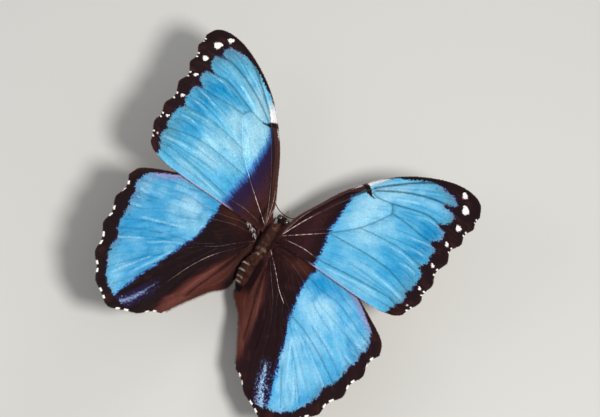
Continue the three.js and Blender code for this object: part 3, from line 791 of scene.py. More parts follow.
hindMarks = {
    "brown": (0.6, 6, 14), "rust": [(10, -1.2, 7, 2.4, 0.5)],
    "innerEdge": [
        (17, 9), (15.6, 3), (14.9, -1), (14.8, -5), (15.3, -10), (16.3, -14.3), (18.4, -18.6), (20, -23),
        (21.5, -28), (23.4, -33), (25.2, -38), (26.7, -42), (27.2, -46.5)],
    "borderEdge": [
        (37, -3.6), (40.2, -7), (41.6, -9.6), (42.6, -12.6), (42.7, -14.6), (41.7, -16.4), (41.5, -19.5),
        (40.8, -22), (40.5, -25.6), (39.4, -28.6), (38, -30.8), (37.7, -34.6), (36.4, -38.3), (34.4, -41.2),
        (32.4, -43.3), (29.6, -44.8), (26, -45.2)],
    "streak": [(18.6, -32.5), (20.1, -36.4), (22.2, -41.2), (25.1, -45.6)],
    "streakWidth": 0.75,
    "brownEdgeLeft": [(1, -3.5), (3.8, -9), (7, -15.6), (11.2, -24.5), (13, -30), (14.8, -36), (15, -44)],
    "brownEdgeRight": [
        (0.8, -3.5), (4, -9), (7.4, -15.6), (9, -23.8), (10.8, -31.4), (11.4, -37), (10, -44)],
    "deep": [(20.5, -2.6, 6, 2.4, 0.7), (38, -28, 2.6, 6, 0.5), (33, -7, 5, 2, 0.4)],
    "deepRight": [
        (18.5, -3.5, 4, 3.6, 0.55), (25, -3, 5, 2, 0.3), (22.5, -38, 3, 3, 0.3), (38, -16.6, 3, 3, 0.4),
        (35, -37, 3, 3, 0.5)],
    "paleRight": [(21.5, -28, 2, 5, 0.4), (29, -27, 3, 4, 0.3)],
    "paleLeft": [(25, -6, 5, 3, 0.6), (29.5, -27, 2.6, 2.4, 0.5)],
    "deepLeft": [
        (27, -22, 7, 8, 0.55), (34, -17, 4, 5, 0.45), (36.5, -24, 3, 5, 0.4), (22, -12, 3, 3, 0.3),
        (26.5, -33, 3.6, 6, 0.75), (33.5, -31, 3, 3.4, 0.4)],
    "pale": [
        (22.5, -9.2, 5.5, 4.2, 0.9), (28, -13, 6, 4, 0.4), (27, -20, 6, 4, 0.4),
        (38.5, -14.5, 3.4, 3.4, 0.4), (29.5, -36, 4, 6, 0.8), (23.5, -26, 2.4, 7, 0.4),
        (36.5, -21, 3, 3, 0.3), (26, -3.5, 5, 1.6, 0.35)],
    "dull": [(40.2, -16, 2, 9, 0.42), (37, -34, 2.4, 6, 0.45)],
}


def blobs(marks, a, b):
    # the sum of soft hills: amount * exp(-(outward distance / reach)^2 - (forward distance / reach)^2)
    total = np.zeros_like(a)
    for x, y, reachX, reachY, amount in marks:
        total += amount * np.exp(-((a - x) / reachX) ** 2 - ((b - y) / reachY) ** 2)
    return total


def shifted(shift, b):
    # base + extra * eased(forward place, from, to)
    base, extra, low, high = shift
    return base + extra * eased(b, low, high)


def darkTones(wing, marks, at):
    # the dark ground of root and border, browner away from the blue and in streaks, times the wing's
    # dark tone, which between left and right wings is painted light and shade
    root, paint = at["root"], wingPaint
    share, low, high = marks["brown"]
    rust = 0.2 * eased(at["ray"] + at["patchy"], 0.2, 1.6) + blobs(marks["rust"], at["a"], at["b"])
    return layered(
        plain(paint["ink"], root),
        (paint["brownBlack"], share * eased(-root, low, high)),
        (paint["redBrown"], rust),
        (paint["indigo"], wing["indigoBase"] * eased(-root, -1, 1) * eased(root, -9, -3)),
        (paint["redBrown"], wing["rustBase"] * eased(-root, 4, 9))) * wing["darkTone"]


def skyTones(wing, marks, at):
    # the blue: paler and deeper hills, largely painted sheen and painted shade; dull and lavender near the
    # border; creases painted darker as shade and ridges paler as highlight; dark veins; all times the wing's
    # sky tone, which paints how brightly it is lit
    a, b, rim, grain, ray, broad, patchy = (
        at[key] for key in ("a", "b", "rim", "grain", "ray", "broad", "patchy"))
    paint = wingPaint
    deepShade = blobs(marks["deep"], a, b) * wing["deepShare"] + blobs(marks["deep" + wing["hand"]], a, b)
    paleSheen = blobs(marks["pale"], a, b) * wing["paleShare"] + blobs(marks["pale" + wing["hand"]], a, b)
    dull = np.clip(blobs(marks["dull"], a, b) + 0.35 * eased(rim, 1.8, 0.2), 0, 1)
    sky = layered(
        plain(paint["sky"], a),
        (paint["paleSky"], np.clip(paleSheen - 0.5 * deepShade + 0.2 * patchy + 0.18 * broad, 0, 1)),
        (paint["deepSky"], np.clip(deepShade + 0.26 * ray - 0.2 * patchy - 0.1, 0, 1)),
        (paint["dullSky"], dull * (0.7 + 0.3 * grain)),
        (paint["lavender"],
         0.35 * eased(rim, shifted(wing["haze"], b), 0.1) * eased(broad + 0.5 * grain, -0.2, 0.8)),
        # painted shade in the creases and a painted highlight on the ridges
        (paint["deepSky"] * 0.45, 0.62 * at["folds"] * (0.8 + 0.2 * grain)),
        (paint["paleSky"] * 1.12, 0.7 * at["ridges"] * (0.75 + 0.25 * grain)),
        (paint["deepSky"] * 0.16, 0.85 * at["shade"]))
    return over(sky * wing["skyTone"], paint["ink"], 0.6 * (at["stray"] > 0.965) * eased(rim, 5, 1))


def foreEdges(sheet, marks, at, colours, lit):
    # the front margin's brown strip, black tip and white patch, the cell's black bar, the pale rear margin
    # and the white drops near the tip
    wing, paint = sheet["wing"], wingPaint
    a, b, front, grain = at["a"], at["b"], at["front"], at["grain"]
    run = b + 0.35 * a - wing["frontRise"]
    strip = wing["frontStrip"][0] + wing["frontStrip"][1] * eased(run, 27, 31)
    beforeBar = eased(33.9 - run, 0, 0.6) * eased(at["u"], 0, 0.05)
    edgeLine = 0.6 + 0.75 * eased(a, 21, 26) + 1.15 * eased(a, 30, 40)
    black = eased(run, 38.5, 41) * eased(edgeLine - front + 0.2 * grain, 0, 0.2)
    patchWide = wing["whiteWidth"][0] - wing["whiteWidth"][1] * np.clip(run - 34, 0, 9)
    patch = eased(run, 33.9, 34.2) * (1 - eased(run + 0.8 * grain, *wing["whiteFade"]))
    patch = patch * eased(patchWide - front + 0.3 * grain, 0, 0.7)
    edgeWhite = eased(run, 28.5, 31) * (1 - eased(run, 38, 41)) * eased(0.45 - front, 0, 0.15)
    barGap = np.abs(splineGap(np.array(marks["bar"]) + np.array(wing["barShift"]), 20, a, b))
    bar = eased(marks["barWidth"] * (1 - 0.65 * eased(a, 16.2, 18.6)) - barGap + 0.15 * grain, 0, 0.18)
    rear = eased(0.42 - np.abs(pathGap(sheet["margins"]["inner"][::16], a, b)), 0, 0.15)
    colours = layered(
        colours,
        (paint["ink"], 0.85 * beforeBar * eased(strip + 0.5 - front, 0, 0.3)),
        (paint["costalBrown"], 0.42 * beforeBar * eased(strip - 0.6 - front, 0, 0.4)),
        (paint["ink"], black),
        (paint["white"], np.maximum(0.95 * patch, edgeWhite)),
        (paint["ink"], bar),
        (paint["pinkBlue"], 0.6 * rear * eased(a, 11, 15) * (1 - eased(a, 28, 38))))
    along, across = marks["spotHeading"]
    for x, y, half, wide, strength in marks["spots"]:
        p = ((a - x) * along + (b - y) * across) / half
        q = (-(a - x) * across + (b - y) * along) / (wide * (1 + 0.45 * np.clip(p, -1, 1)))
        out = (np.abs(p) ** 2.3 + np.abs(q) ** 2.3) ** (1 / 2.3) + 0.09 * grain
        colours = over(colours, paint["white"], strength * eased(1.05 - out, 0, 0.2))
    return colours, np.clip(lit * (1 - black) * (1 - bar), 0, 1)


def innerBrown(wing, marks, at):
    # the brown fold beside the abdomen: its cover, and its tones with creases painted darker as shade, ridges
    # painted lighter as highlight, fine streaks, a painted shadow near the body and the inner margin tucked
    # under the abdomen painted dark as its shadow
    a, b, u, v, ray = at["a"], at["b"], at["u"], at["v"], at["ray"]
    beyond = splineGap(marks["brownEdge" + wing["hand"]], 50, a, b)
    stripe = np.exp(-((beyond + 3.2) / 2.4) ** 2)
    tone = 0.35 * eased(ray + 0.5 * at["patchy"], 0, 1.5)
    # ridges painted lighter as highlight and creases darker as shade
    tone = tone + 0.5 * stripe + 0.6 * at["ridges"] - 0.7 * at["folds"]
    fine = 0.16 * latticeNoise(v * 230, u * 7, 53) + 0.1 * latticeNoise(v * 420, u * 13, 59)
    # a painted shadow on the brown fold near the body
    shadow = 1 - wing["brownShadow"] * (1 - eased(-b, 7, 21))
    colours = over(plain(wingPaint["redBrown"], a), wingPaint["foldBrown"], np.clip(tone, 0, 1))
    colours = colours * (wing["brownTone"] * shadow * (1 + fine))[..., None]
    # the inner margin tucked under the abdomen is painted ink as shadow
    tuckShadow = eased(v, *wing["tuckShade"]) * eased(-b, 3, 6) * (1 - eased(-b, *wing["tuckEnd"]))
    return eased(-beyond + 0.3 * ray, -0.3, 1.8), over(colours, wingPaint["ink"], tuckShadow)


def hindEdges(sheet, marks, at, colours, lit):
    # the front margin's lilac haze and dark line, the pale streak in its indigo halo near the rear, and the
    # brown fold along the abdomen
    wing, paint = sheet["wing"], wingPaint
    a, b, root, rim, grain = at["a"], at["b"], at["root"], at["rim"], at["grain"]
    strip = 0.4 + 0.9 * eased(a, 28, 41)
    lilac = eased(strip + 2.6 - at["front"] + 0.6 * at["ray"], 0, 2.8)
    lilac = lilac * eased(a, 19, 27) * (1 - eased(a, 38, 42))
    line = eased(strip - at["front"] + 0.2 * grain, 0, 0.3)
    streakGap = np.abs(splineGap(marks["streak"], 20, a, b))
    tail = eased(-b, 30, 40) * eased(rim, -1.2, 0)
    halo = eased(2.6 - streakGap, 0, 1.6) * tail * (root < 0)
    speck = wing["speckCover"] * halo * (at["stray"] > wing["speckFrom"])
    between = eased(3.4 + root, 0, 1.4) * tail * (root < 0) * (1 - halo) * (at["stray"] > 0.88)
    width = marks["streakWidth"] * eased(-b, wing["streakFrom"], 42) - streakGap
    width = width + wing["streakGrain"] * grain + 0.2 * at["ray"]
    streak = eased(width, 0, wing["streakSoft"]) * eased(rim, -0.8, 0.2) * (root < 0.1)
    brown, brownTone = innerBrown(wing, marks, at)
    pale = paint["paleSky"]
    colours = layered(
        colours,
        (over(plain(paint["lavender"], a), paint["pinkBlue"], eased(grain, -0.4, 1.0)), 0.8 * lilac * lit),
        (over(plain(paint["ink"], a), paint["redBrown"], np.full(a.shape, 0.1)), line),
        (paint["indigo"], 0.75 * halo),
        (over(plain(paint["lavender"], a), pale, 0.6 * eased(grain, -0.5, 0.5)), speck),
        (paint["violetBlue"], wing["speckBeyond"] * between),
        (over(plain(paint["lavender"], a), pale, wing["streakPale"] * eased(grain, -0.7, 0.5)),
         wing["streakCover"] * streak),
        (brownTone, 0.85 * brown * (1 - 0.85 * at["folds"])))
    return colours, np.clip(np.maximum(lit * (1 - line), streak) * (1 - brown), 0, 1)


def topColours(sheet, at, seed):
    # the upper side's colours at places on the wing, and how blue each is; at holds the places' own a, b,
    # u, v, gap to the nearest vein, vein shade, folds and ridges. From root to border: dark, indigo,
    # violet, blue, dark
    rng = np.random.default_rng(seed)
    wing, paint = sheet["wing"], wingPaint
    marks = foreMarks if wing["fore"] else hindMarks
    a, b, u, v = at["a"], at["b"], at["u"], at["v"]
    grain = rng.uniform(-1, 1, a.shape)
    stray = rng.uniform(0, 1, a.shape)
    ray = latticeNoise(v * 62, u * 9, 31) + 0.6 * latticeNoise(v * 140, u * 22, 37)
    root = splineGap(marks["innerEdge"], 70, a, b) - shifted(wing["basalShift"], b) + 0.4 * grain + 0.45 * ray
    rim = -splineGap(marks["borderEdge"], 130, a, b) - shifted(wing["borderShift"], b)
    rim = rim + 0.34 * grain + 0.3 * ray
    at = {
        **at, "grain": grain, "stray": stray, "ray": ray, "root": root, "rim": rim,
        "broad": latticeNoise(v * 24, u * 5, 43),
        "patchy": latticeNoise(a * 0.35, b * 0.35, 41) + 0.5 * latticeNoise(a * 0.8, b * 0.8, 47),
        "front": np.abs(pathGap(sheet["margins"]["front"][::16], a, b)),
    }
    dark = darkTones(wing, marks, at)
    blend = wing["blend"]
    inner = layered(
        dark,
        (paint["indigo"], eased(root, wing["indigoFrom"] * blend, 0.1 * blend)),
        (paint["violetBlue"], eased(root, wing["violetFrom"] * blend, 0.5 * blend)),
        (skyTones(wing, marks, at), eased(root, 0.35 * blend, 0.95 * blend)))
    border = over(dark, paint["indigo"], 0.7 * eased(rim, -0.7, 0))
    colours = over(border, inner, eased(rim, -0.1, 0.12))
    lit = eased(root, -0.1, 0.5) * eased(rim, -0.1, 0.15)
    colours, lit = (foreEdges if wing["fore"] else hindEdges)(sheet, marks, at, colours, lit)
    return np.clip(colours * (1 + 0.1 * rng.uniform(-1, 1, a.shape))[..., None], 0, 1), lit


undersidePaint = paints(
    ground="6e5040", dark="43291f", grey="a3917e", pale="cdbfa8", rust="8c3f26", ochre="c79a45",
    maroon="3c1512", black="14100f", white="efeae2")
# shares of the way from root to margin, with half widths; eyespots as place and radius; their rings from
# outside in
cellBars = [(0.2, 0.012), (0.3, 0.014), (0.42, 0.012)]
marginLines = [(0.9, 0.012, "grey"), (0.93, 0.008, "rust"), (0.96, 0.009, "grey"), (0.983, 0.007, "dark")]
eyeRings = [
    (1.12, "dark"), (1.0, "ochre"), (0.78, "black"), (0.52, "maroon"), (0.3, "black"), (0.14, "white")]
foreEyes = [(38.6, 30.4, 2.1), (39.6, 22.6, 2.3), (38.6, 6.4, 3.1)]
hindEyes = [(33.5, -8.6, 4.1), (36.6, -27.2, 2.5), (33.2, -34.2, 2.6), (27, -39.6, 2.1)]


def undersideColours(sheet, at, seed):
    # brown ground with pale bars in the cell, eyespots beyond a grey band, and lines along the outer margin
    rng = np.random.default_rng(seed)
    a, b, u, v = at["a"], at["b"], at["u"], at["v"]
    paint = undersidePaint
    grain = rng.uniform(-1, 1, a.shape)
    wave = latticeNoise(v * 14, u * 3, 71)
    mottle = latticeNoise(a * 0.9, b * 0.9, 73)
    colours = over(plain(paint["ground"], a), paint["dark"], 0.5 * eased(mottle + 0.3 * grain, -0.2, 0.9))
    for centre, width in cellBars:
        gap = np.abs(u - centre - 0.02 * wave)
        bar = 0.75 * eased(width - gap + 0.003 * grain, 0, 0.005) * eased(0.75 - v, 0, 0.2)
        colours = over(colours, paint["pale"], bar)
    colours = over(colours, paint["grey"], 0.75 * np.exp(-((u - 0.56 - 0.03 * wave) / 0.035) ** 2))
    colours = over(colours, paint["dark"], 0.8 * np.exp(-((u - 0.615 - 0.03 * wave) / 0.012) ** 2))
    for centre, width, name in marginLines:
        gap = np.abs(u - centre - 0.004 * wave)
        colours = over(colours, paint[name], 0.9 * eased(width - gap + 0.003 * grain, 0, 0.004))
    for x, y, size in foreEyes if sheet["wing"]["fore"] else hindEyes:
        out = np.hypot(a - x, b - y) / size + 0.03 * grain
        for limit, name in eyeRings:
            colours = over(colours, paint[name], eased(limit - out, 0, 0.05))
    colours = colours * (1 - 0.3 * np.exp(-(at["gap"] / 0.3) ** 2))[..., None]
    return np.clip(colours * (1 + 0.09 * rng.uniform(-1, 1, a.shape))[..., None], 0, 1), np.zeros(a.shape)


def addMembrane(sheet):
    # a closed shell: the middle surface moved up and down by half the thickness, joined round its edge; the
    # two sides lie next to each other on the unwrap
    rows, columns = sheet["u"].shape
    count = rows * columns
    lift = sheet["upward"] * sheet["thick"][..., None] / 2
    points = np.concatenate([
        (sheet["middle"] + lift).reshape(-1, 3), (sheet["middle"] - lift).reshape(-1, 3)])
    index = np.arange(count).reshape(rows, columns)
    loop = np.concatenate([index[:-1, 0], index[-1, :-1], index[:0:-1, -1], index[0, :0:-1]])
    after = np.roll(loop, -1)
    upper = gridFaces(rows, columns)
    faces = [upper, upper[:, ::-1] + count, np.stack([loop, after, after + count, loop + count], 1)]
    at = {key: sheet[key].ravel() for key in ("u", "v", *sheetFields)}
    topTint, topBlue = topColours(sheet, at, 5)
    lowTint, lowBlue = undersideColours(sheet, at, 6)
    half = unwrapAt(sheet, at["a"], at["b"]) * (0.5, 1)
    piece = addMesh(
        "wing" + sheet["name"], points, facingOut(points, faces), finishes["membrane"],
        tint=np.concatenate([topTint, lowTint]) * 0.8, bakeMap=np.concatenate([half, half + (0.5, 0)]),
        numbers={"blue": np.concatenate([topBlue, lowBlue])})
    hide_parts(sheet["wing"]["node"])


coat = {
    "topPitch": 0.29, "lowPitch": 0.45,   # how far apart the scales sit
    "overlap": 2.1, "breadth": 1.3, "lift": 0.03, "tipLift": 0.035, "tilt": 4.0, "turn": 7.0,
    # one scale: a narrow root, full width by a third of its length and a blunt tip; across, along and rise
    "template": np.array([
        (-0.22, 0, 0), (0.22, 0, 0), (-0.5, 0.36, 0.35), (0.5, 0.36, 0.35), (-0.44, 0.84, 0.85),
        (0.44, 0.84, 0.85), (0, 1, 1.0)]),
    "faces": [np.array([(0, 1, 3, 2), (2, 3, 5, 4)]), np.array([(4, 5, 6)])],
}


def addScaleCoat(sheet, upper):
    # rows of scales over one side of a wing, each laid from its root towards the margin like a roof tile
    rng = np.random.default_rng(101 if upper else 202)
    pitch = coat["topPitch"] if upper else coat["lowPitch"]
    middle = sheet["middle"]
    columnLength = np.linalg.norm(np.diff(middle, axis=0), axis=2).sum(0).mean()
    rows = int(columnLength / pitch)
    gridLength = np.linalg.norm(np.diff(middle, axis=1), axis=2).sum(1)
    rowLength = np.interp((np.arange(rows) + 0.5) / rows, sheet["u"][:, 0], gridLength)
    counts = np.maximum((rowLength / pitch).astype(int), 4)
    row = np.repeat(np.arange(rows), counts)
    count = len(row)
    order = np.arange(count) - np.repeat(np.cumsum(counts) - counts, counts)
    v = (order + 0.5 + 0.5 * (row % 2) - 0.25 + rng.uniform(-0.2, 0.2, count)) / counts[row]
    u = (row + 0.5 + rng.uniform(-0.3, 0.3, count)) / rows
    v, u = np.clip(v, 0.002, 0.998), np.clip(u, 0.01, 0.998)
    step = 0.006
    along = unit(stepOver(sheet, u, v, step, 0))
    normal = unit(np.cross(along, stepOver(sheet, u, v, 0, step)))
    normal = normal * sideOf(normal, sheet["upward"] if upper else -sheet["upward"])
    along = turnedInPlane(along, normal, np.radians(rng.normal(0, coat["turn"], count)))
    roll = np.radians(rng.normal(0, coat["tilt"], count))
    normal = unit(normal + np.cross(along, normal) * np.sin(roll)[:, None])
    at = fieldsAt(sheet, u, v)
    colours, blue = (topColours if upper else undersideColours)(sheet, at, 7)
    width = rowLength[row] / counts[row] * coat["breadth"] * rng.uniform(0.85, 1.15, count)
    length = columnLength / rows * coat["overlap"] * rng.uniform(0.85, 1.15, count)
    across, ahead, rise = coat["template"].T
    rise = coat["lift"] * 0.3 + rise * (coat["tipLift"] + rng.uniform(0, 0.02, count))[:, None]
    start = sheetAt(sheet, middle, u, v) - along * (length * 0.35)[:, None]
    start = start + normal * (sheetAt(sheet, sheet["thick"], u, v) / 2)[:, None]
    points = laid(
        start, np.cross(along, normal), along, normal, across * width[:, None], ahead * length[:, None], rise)
    each = len(coat["template"])
    addMesh(
        ("scalesUpper" if upper else "scalesLower") + sheet["name"], points,
        repeated(coat["template"], coat["faces"], count), finishes["scales"],
        tint=np.repeat(colours, each, 0), numbers={"blue": np.repeat(blue, each)}, smooth=False,
        bakeMap=bakePatches(unwrapAt(sheet, at["a"], at["b"]), coat["template"], count))


veinPaint = {
    "pale": linear("f0cfc6"), "brown": linear("38201e"),
    "skyShare": 0.3,                      # how much of the blue is left where a vein's darkness is 1
    # distances from the joint between which a vein's pale part ends, and those of single veins
    "paleFore": (9.0, 16.0), "paleHind": (13.0, 20.0),
    "paleTo": {
        ("HindLeft", "anal2"): (30.0, 36.0), ("HindLeft", "cubitus"): (18.0, 24.0),
        ("HindRight", "cubitus"): (18.0, 24.0)},
    # and those between which it starts
    "rootEnd": (0.5, 2.4), "paleFrom": {("HindLeft", "anal2"): (14, 20)},
    # the next vein is laid pale blue as a painted highlight along it
    "highlitVein": ("ForeLeft", "cubitus"),   # the one vein that is pale blue where the wing is blue
    "rootReach": 1.3,                     # how far a vein goes on into the body
}


def addVeins(sheet):
    # tubes along the veins, half sunk in the membrane, thinning from root to end: pale and flecked near the
    # root, partly pale scales and partly a painted highlight, and over the blue a darker or paler shade of
    # the wing's own colour, the paler one a painted highlight
    rng = np.random.default_rng(404)
    wing, paint, sides = sheet["wing"], veinPaint, 6
    lines = [
        (key, splineAt(vein[0], np.linspace(0, 1, 90)), *vein[1:6])
        for key, vein in sheet["veins"].items()]
    front = sheet["margins"]["front"][::32][1:-1] + np.array([0.06, -0.06])
    lines.append(("edge", front, 0.22, 0.1, 0.3 if wing["fore"] else 0, 0, 0.9))
    parts = []
    for key, line, start, end, paleLeft, paleRight, darkness in lines:
        if line[0, 0] < 0.7:
            line = np.concatenate([line[:1] - paint["rootReach"] * unit(line[4:5] - line[:1]), line])
        line = evenAlong(line, 90)
        path, uv = liftedAt(sheet, line)
        share = np.linspace(0, 1, len(path))
        blunt = np.where(share > 0.985, 0.5, 1) * (0.5 + 0.5 * eased(share, 0, 0.06))
        radius = (start + (end - start) * share ** 0.6) * blunt
        points, faces = closedTube(tubePoints(path, radius, radius * 0.95, sides, sheet["upward"]))
        at = fieldsAt(sheet, *uv.T)
        at.update({field: at[field] * 0 for field in ("folds", "ridges", "shade")})
        colours, lit = topColours(sheet, at, 3)
        tint = over(plain(paint["brown"], share), colours * (1 - (1 - paint["skyShare"]) * darkness), lit)
        vein = (sheet["name"], key)
        # a painted highlight: this one vein is laid pale blue
        if vein == paint["highlitVein"]:
            tint = over(tint, wingPaint["paleSky"] * 1.15, 0.8 * lit)
        run = np.hypot(*line.T)
        reach = paint["paleTo"].get(vein, paint["paleFore" if wing["fore"] else "paleHind"])
        fleck = 0.72 + 0.9 * latticeNoise(run * 2.6, np.full(len(run), 3.3), 51)
        fleck = fleck + rng.uniform(-0.3, 0.3, len(run))
        # the pale root: pale scales and a painted highlight, with a paleness of its own for each side
        pale = (paleLeft if wing["side"] > 0 else paleRight) * np.clip(fleck, 0, 1) * (1 - eased(run, *reach))
        pale = pale * (1 - lit) * eased(run, *paint["paleFrom"].get(vein, paint["rootEnd"]))
        tint = over(tint, paint["pale"], pale)
        each = np.repeat(tint, sides, 0).reshape(-1, sides, 3)
        each[:, [0, 3, 4, 5]] = over(each[:, [0, 3, 4, 5]], paint["brown"], 0.85)
        tint = np.concatenate([each.reshape(-1, 3), tint[:1], tint[-1:]])
        parts.append((points, facingOut(points, faces), tint))
    points, faces, tint = joined(parts)
    addMesh("veins" + sheet["name"], points, faces, finishes["veins"], tint=tint)


fringe = {
    "pitch": 0.075, "length": 0.6, "width": 0.13,
    # two white dashes stand either side of the middle of each scallop; offset and half length, millimetres
    "dashFore": (0.75, 0.22), "dashHind": (1.25, 0.62), "dashLonger": 0.12,
    "dark": linear("241214"), "white": linear("fffaf2"),
    # one blade; across, along and bend
    "template": np.array([(-0.5, 0, 0), (0.5, 0, 0), (-0.42, 0.6, 0.5), (0.42, 0.6, 0.5), (0, 1, 0.7)]),
    "faces": [np.array([(0, 1, 3, 2)]), np.array([(2, 3, 4)])],
}


def addFringe(sheet):
    # hair scales along the outer margin: three rows of narrow blades, white in each notch
    rng = np.random.default_rng(303)
    spans = len(sheet["shape"]["scallops"])
    length = np.linalg.norm(np.diff(sheet["margins"]["outer"], axis=0), axis=1).sum()
    count = int(length / fringe["pitch"]) * 3
    v = np.clip((np.arange(count) + rng.uniform(-0.5, 0.5, count)) / count, 0.001, 0.999)
    u = np.full(count, 0.9985)
    here = sheetAt(sheet, sheet["middle"], u, v)
    beside = unit(stepOver(sheet, u, v, 0, 0.003))
    out = unit(here - sheetAt(sheet, sheet["middle"], u - 0.012, v))
    sway = rng.normal(0, 0.16, count)[:, None]
    out = unit(out - beside * (out * beside).sum(1)[:, None] * 0.7 + beside * sway)
    normal = unit(np.cross(beside, out))
    facing = sideOf(normal, sheet["upward"])
    share = v * spans - np.floor(v * spans)
    offset, half = fringe["dashFore" if sheet["wing"]["fore"] else "dashHind"]
    away = np.abs(np.abs(share - 0.5) * length / spans - offset)
    white = eased(half - away + rng.uniform(-0.12, 0.12, count), 0, 0.1)
    tint = over(plain(fringe["dark"], white), fringe["white"], white)
    across, ahead, rise = fringe["template"].T
    size = fringe["length"] * rng.uniform(0.7, 1.15, count) * (1 + fringe["dashLonger"] * white)
    wide = fringe["width"] * (1 + 0.5 * white)
    start = here - out * (0.12 + 0.04 * white)[:, None] + normal * facing * (0.07 * white)[:, None]
    bend = rng.normal(0, 0.12, count)
    points = laid(
        start, beside * facing, out, normal * facing,
        across * wide[:, None], ahead * size[:, None], rise * bend[:, None])
    where = np.stack([0.01 + 0.95 * v, np.full(count, 0.4)], 1)
    addMesh(
        "fringe" + sheet["name"], points, repeated(fringe["template"], fringe["faces"], count),
        finishes["fringe"], tint=np.repeat(tint, len(across), 0), smooth=False,
        bakeMap=bakePatches(where, fringe["template"], count))


sheets = {name: wingSheet(name) for name in wings}
print("stage: wing surfaces")
for sheet in sheets.values():
    addMembrane(sheet)
    addScaleCoat(sheet, True)
    addScaleCoat(sheet, False)
    addVeins(sheet)
    addFringe(sheet)
print("stage: wings")


# Body: one skin over head, thorax and abdomen, rings across its length

body = {
    # forward, sideways, height, half width, half height
    "stations": [
        (6.12, -0.97, 13.0, 0.05, 0.05), (5.95, -0.95, 13.0, 0.7, 0.8), (5.35, -0.93, 13.02, 1.18, 1.3),
        (4.8, -0.9, 13.05, 1.3, 1.45), (4.2, -0.82, 13.05, 1.18, 1.32), (3.6, -0.7, 12.95, 0.85, 1.0),
        (3.15, -0.5, 12.75, 0.82, 1.0), (2.6, -0.22, 12.25, 1.08, 1.55), (1.9, -0.05, 12.0, 1.52, 2.3),
        (0.8, 0, 11.9, 1.92, 2.85), (-1.2, 0, 11.85, 2.1, 3.12), (-3.4, 0, 11.75, 2.1, 3.15),
        (-5.4, 0, 11.7, 2.03, 3.0), (-7.1, 0, 11.75, 1.78, 2.55), (-8.1, 0, 11.9, 1.42, 1.9),
        (-8.8, 0.0, 12.1, 1.28, 1.5), (-9.8, 0.2, 12.2, 1.5, 1.6), (-11.4, 0.45, 12.12, 1.86, 1.86),
        (-13.6, 0.58, 11.9, 2.0, 1.96), (-15.8, 0.53, 11.6, 1.95, 1.9), (-17.8, 0.24, 11.2, 1.7, 1.64),
        (-19.4, -0.05, 10.78, 1.24, 1.26), (-20.5, -0.4, 10.42, 0.82, 0.84),
        (-21.1, -0.6, 10.2, 0.46, 0.45), (-21.3, -0.66, 10.12, 0.05, 0.05)],
    "segmentEnds": [-9.4, -11.2, -13.1, -15.4, -17.5, -18.9, -20.2, -21.5],
    "segmentSwell": 0.055, "paleLines": [-13.1, -15.4, -17.5, -18.9], "rings": 300, "sides": 72,
}
bodyPaint = paints(
    thorax="50302a", thoraxLight="a0765f", ochre="c8a68a", abdomen="643a30", abdomenDark="2f1a16",
    tip="130b0d", belly="7d6a55", cream="fbe6d4", head="241b18", face="9c8f80", flank="2c1613",
    palp="a3988a", tuft="fff4f2", collar="5e3a24")


def bodyAt(share, angle):
    # a ring at a share of the stations: middle + half width * cos to the side + half height * sin upward;
    # on the abdomen each segment widens a little towards its rear edge
    station = splineAt(body["stations"], share)
    forward, sideways, height, wide, high = np.moveaxis(station, -1, 0)
    ends = np.array(body["segmentEnds"])
    run = np.interp(-forward, -ends, np.arange(len(ends)))
    within = run - np.floor(run)
    bulge = within ** 1.5 * (1 - eased(within, 0.86, 1)) - 0.3
    swell = 1 + body["segmentSwell"] * bulge * eased(-forward, 9.4, 10.4)
    wide, high = np.maximum(wide, 0.02) * swell, np.maximum(high, 0.02) * swell
    return place(sideways + wide * np.cos(angle), forward, height + high * np.sin(angle)), forward


def bodyColours(forward, angle, seed):
    # thorax browns with ochre hair behind and sides painted dark as shade where the wings join, a collar, the
    # head and its face, the abdomen with pale rear edges of its segments, drawn only on its upper left side
    # as a painted highlight, and a paler belly
    rng = np.random.default_rng(seed)
    paint = bodyPaint
    grain = rng.uniform(-1, 1, forward.shape)
    patch = latticeNoise(forward * 1.1, angle * 2.2, 81) + 0.5 * latticeNoise(forward * 2.6, angle * 5, 83)
    top, side = np.sin(angle), np.cos(angle)
    rear = np.exp(-((forward + 6.4) / 0.35) ** 2) + np.exp(-((forward + 8.2) / 0.4) ** 2)
    onHead = eased(forward, 3.2, 3.8)
    abdomen = layered(
        plain(paint["abdomen"], forward),
        (paint["abdomenDark"], eased(patch + 0.6 * grain, -0.5, 0.9)),
        (paint["tip"], eased(-forward, 18.8, 19.6)))
    line = np.zeros_like(forward)
    for end in body["paleLines"]:
        line = np.maximum(line, eased(0.2 - np.abs(forward - end - 0.1 - 0.4 * side ** 2), 0, 0.08))
    colours = layered(
        plain(paint["thorax"], forward),
        (paint["thoraxLight"], 0.75 * eased(patch + 0.5 * grain, 0.1, 1.3)),
        # painted shade on the thorax's sides where the wings join
        (paint["flank"], 0.85 * eased(np.abs(side) + 0.12 * patch, 0.4, 0.8) * eased(forward, -8.6, -6.5)),
        (paint["ochre"],
         0.8 * np.clip(rear, 0, 1) * eased(top, 0.2, 0.8) * eased(patch + 0.8 * grain, -0.7, 0.6)),
        (paint["collar"], 0.8 * np.exp(-((forward - 2.5) / 0.4) ** 2)),
        (paint["head"], onHead),
        (paint["face"], 0.7 * onHead * eased(forward, 5.3, 6.0) * eased(patch, -0.4, 0.6)),
        (abdomen, eased(-forward, 9.0, 9.8)),
        # the segments' pale rear edges only on the upper left, where the light falls: partly a painted
        # highlight
        (paint["cream"], line * (eased(side, -0.2, 0.1) * eased(top, -0.2, 0.1))),
        (paint["belly"], 0.8 * eased(-top, 0.35, 0.8) * (1 - onHead)))
    return np.clip(colours * (1 + 0.14 * grain)[..., None], 0, 1)


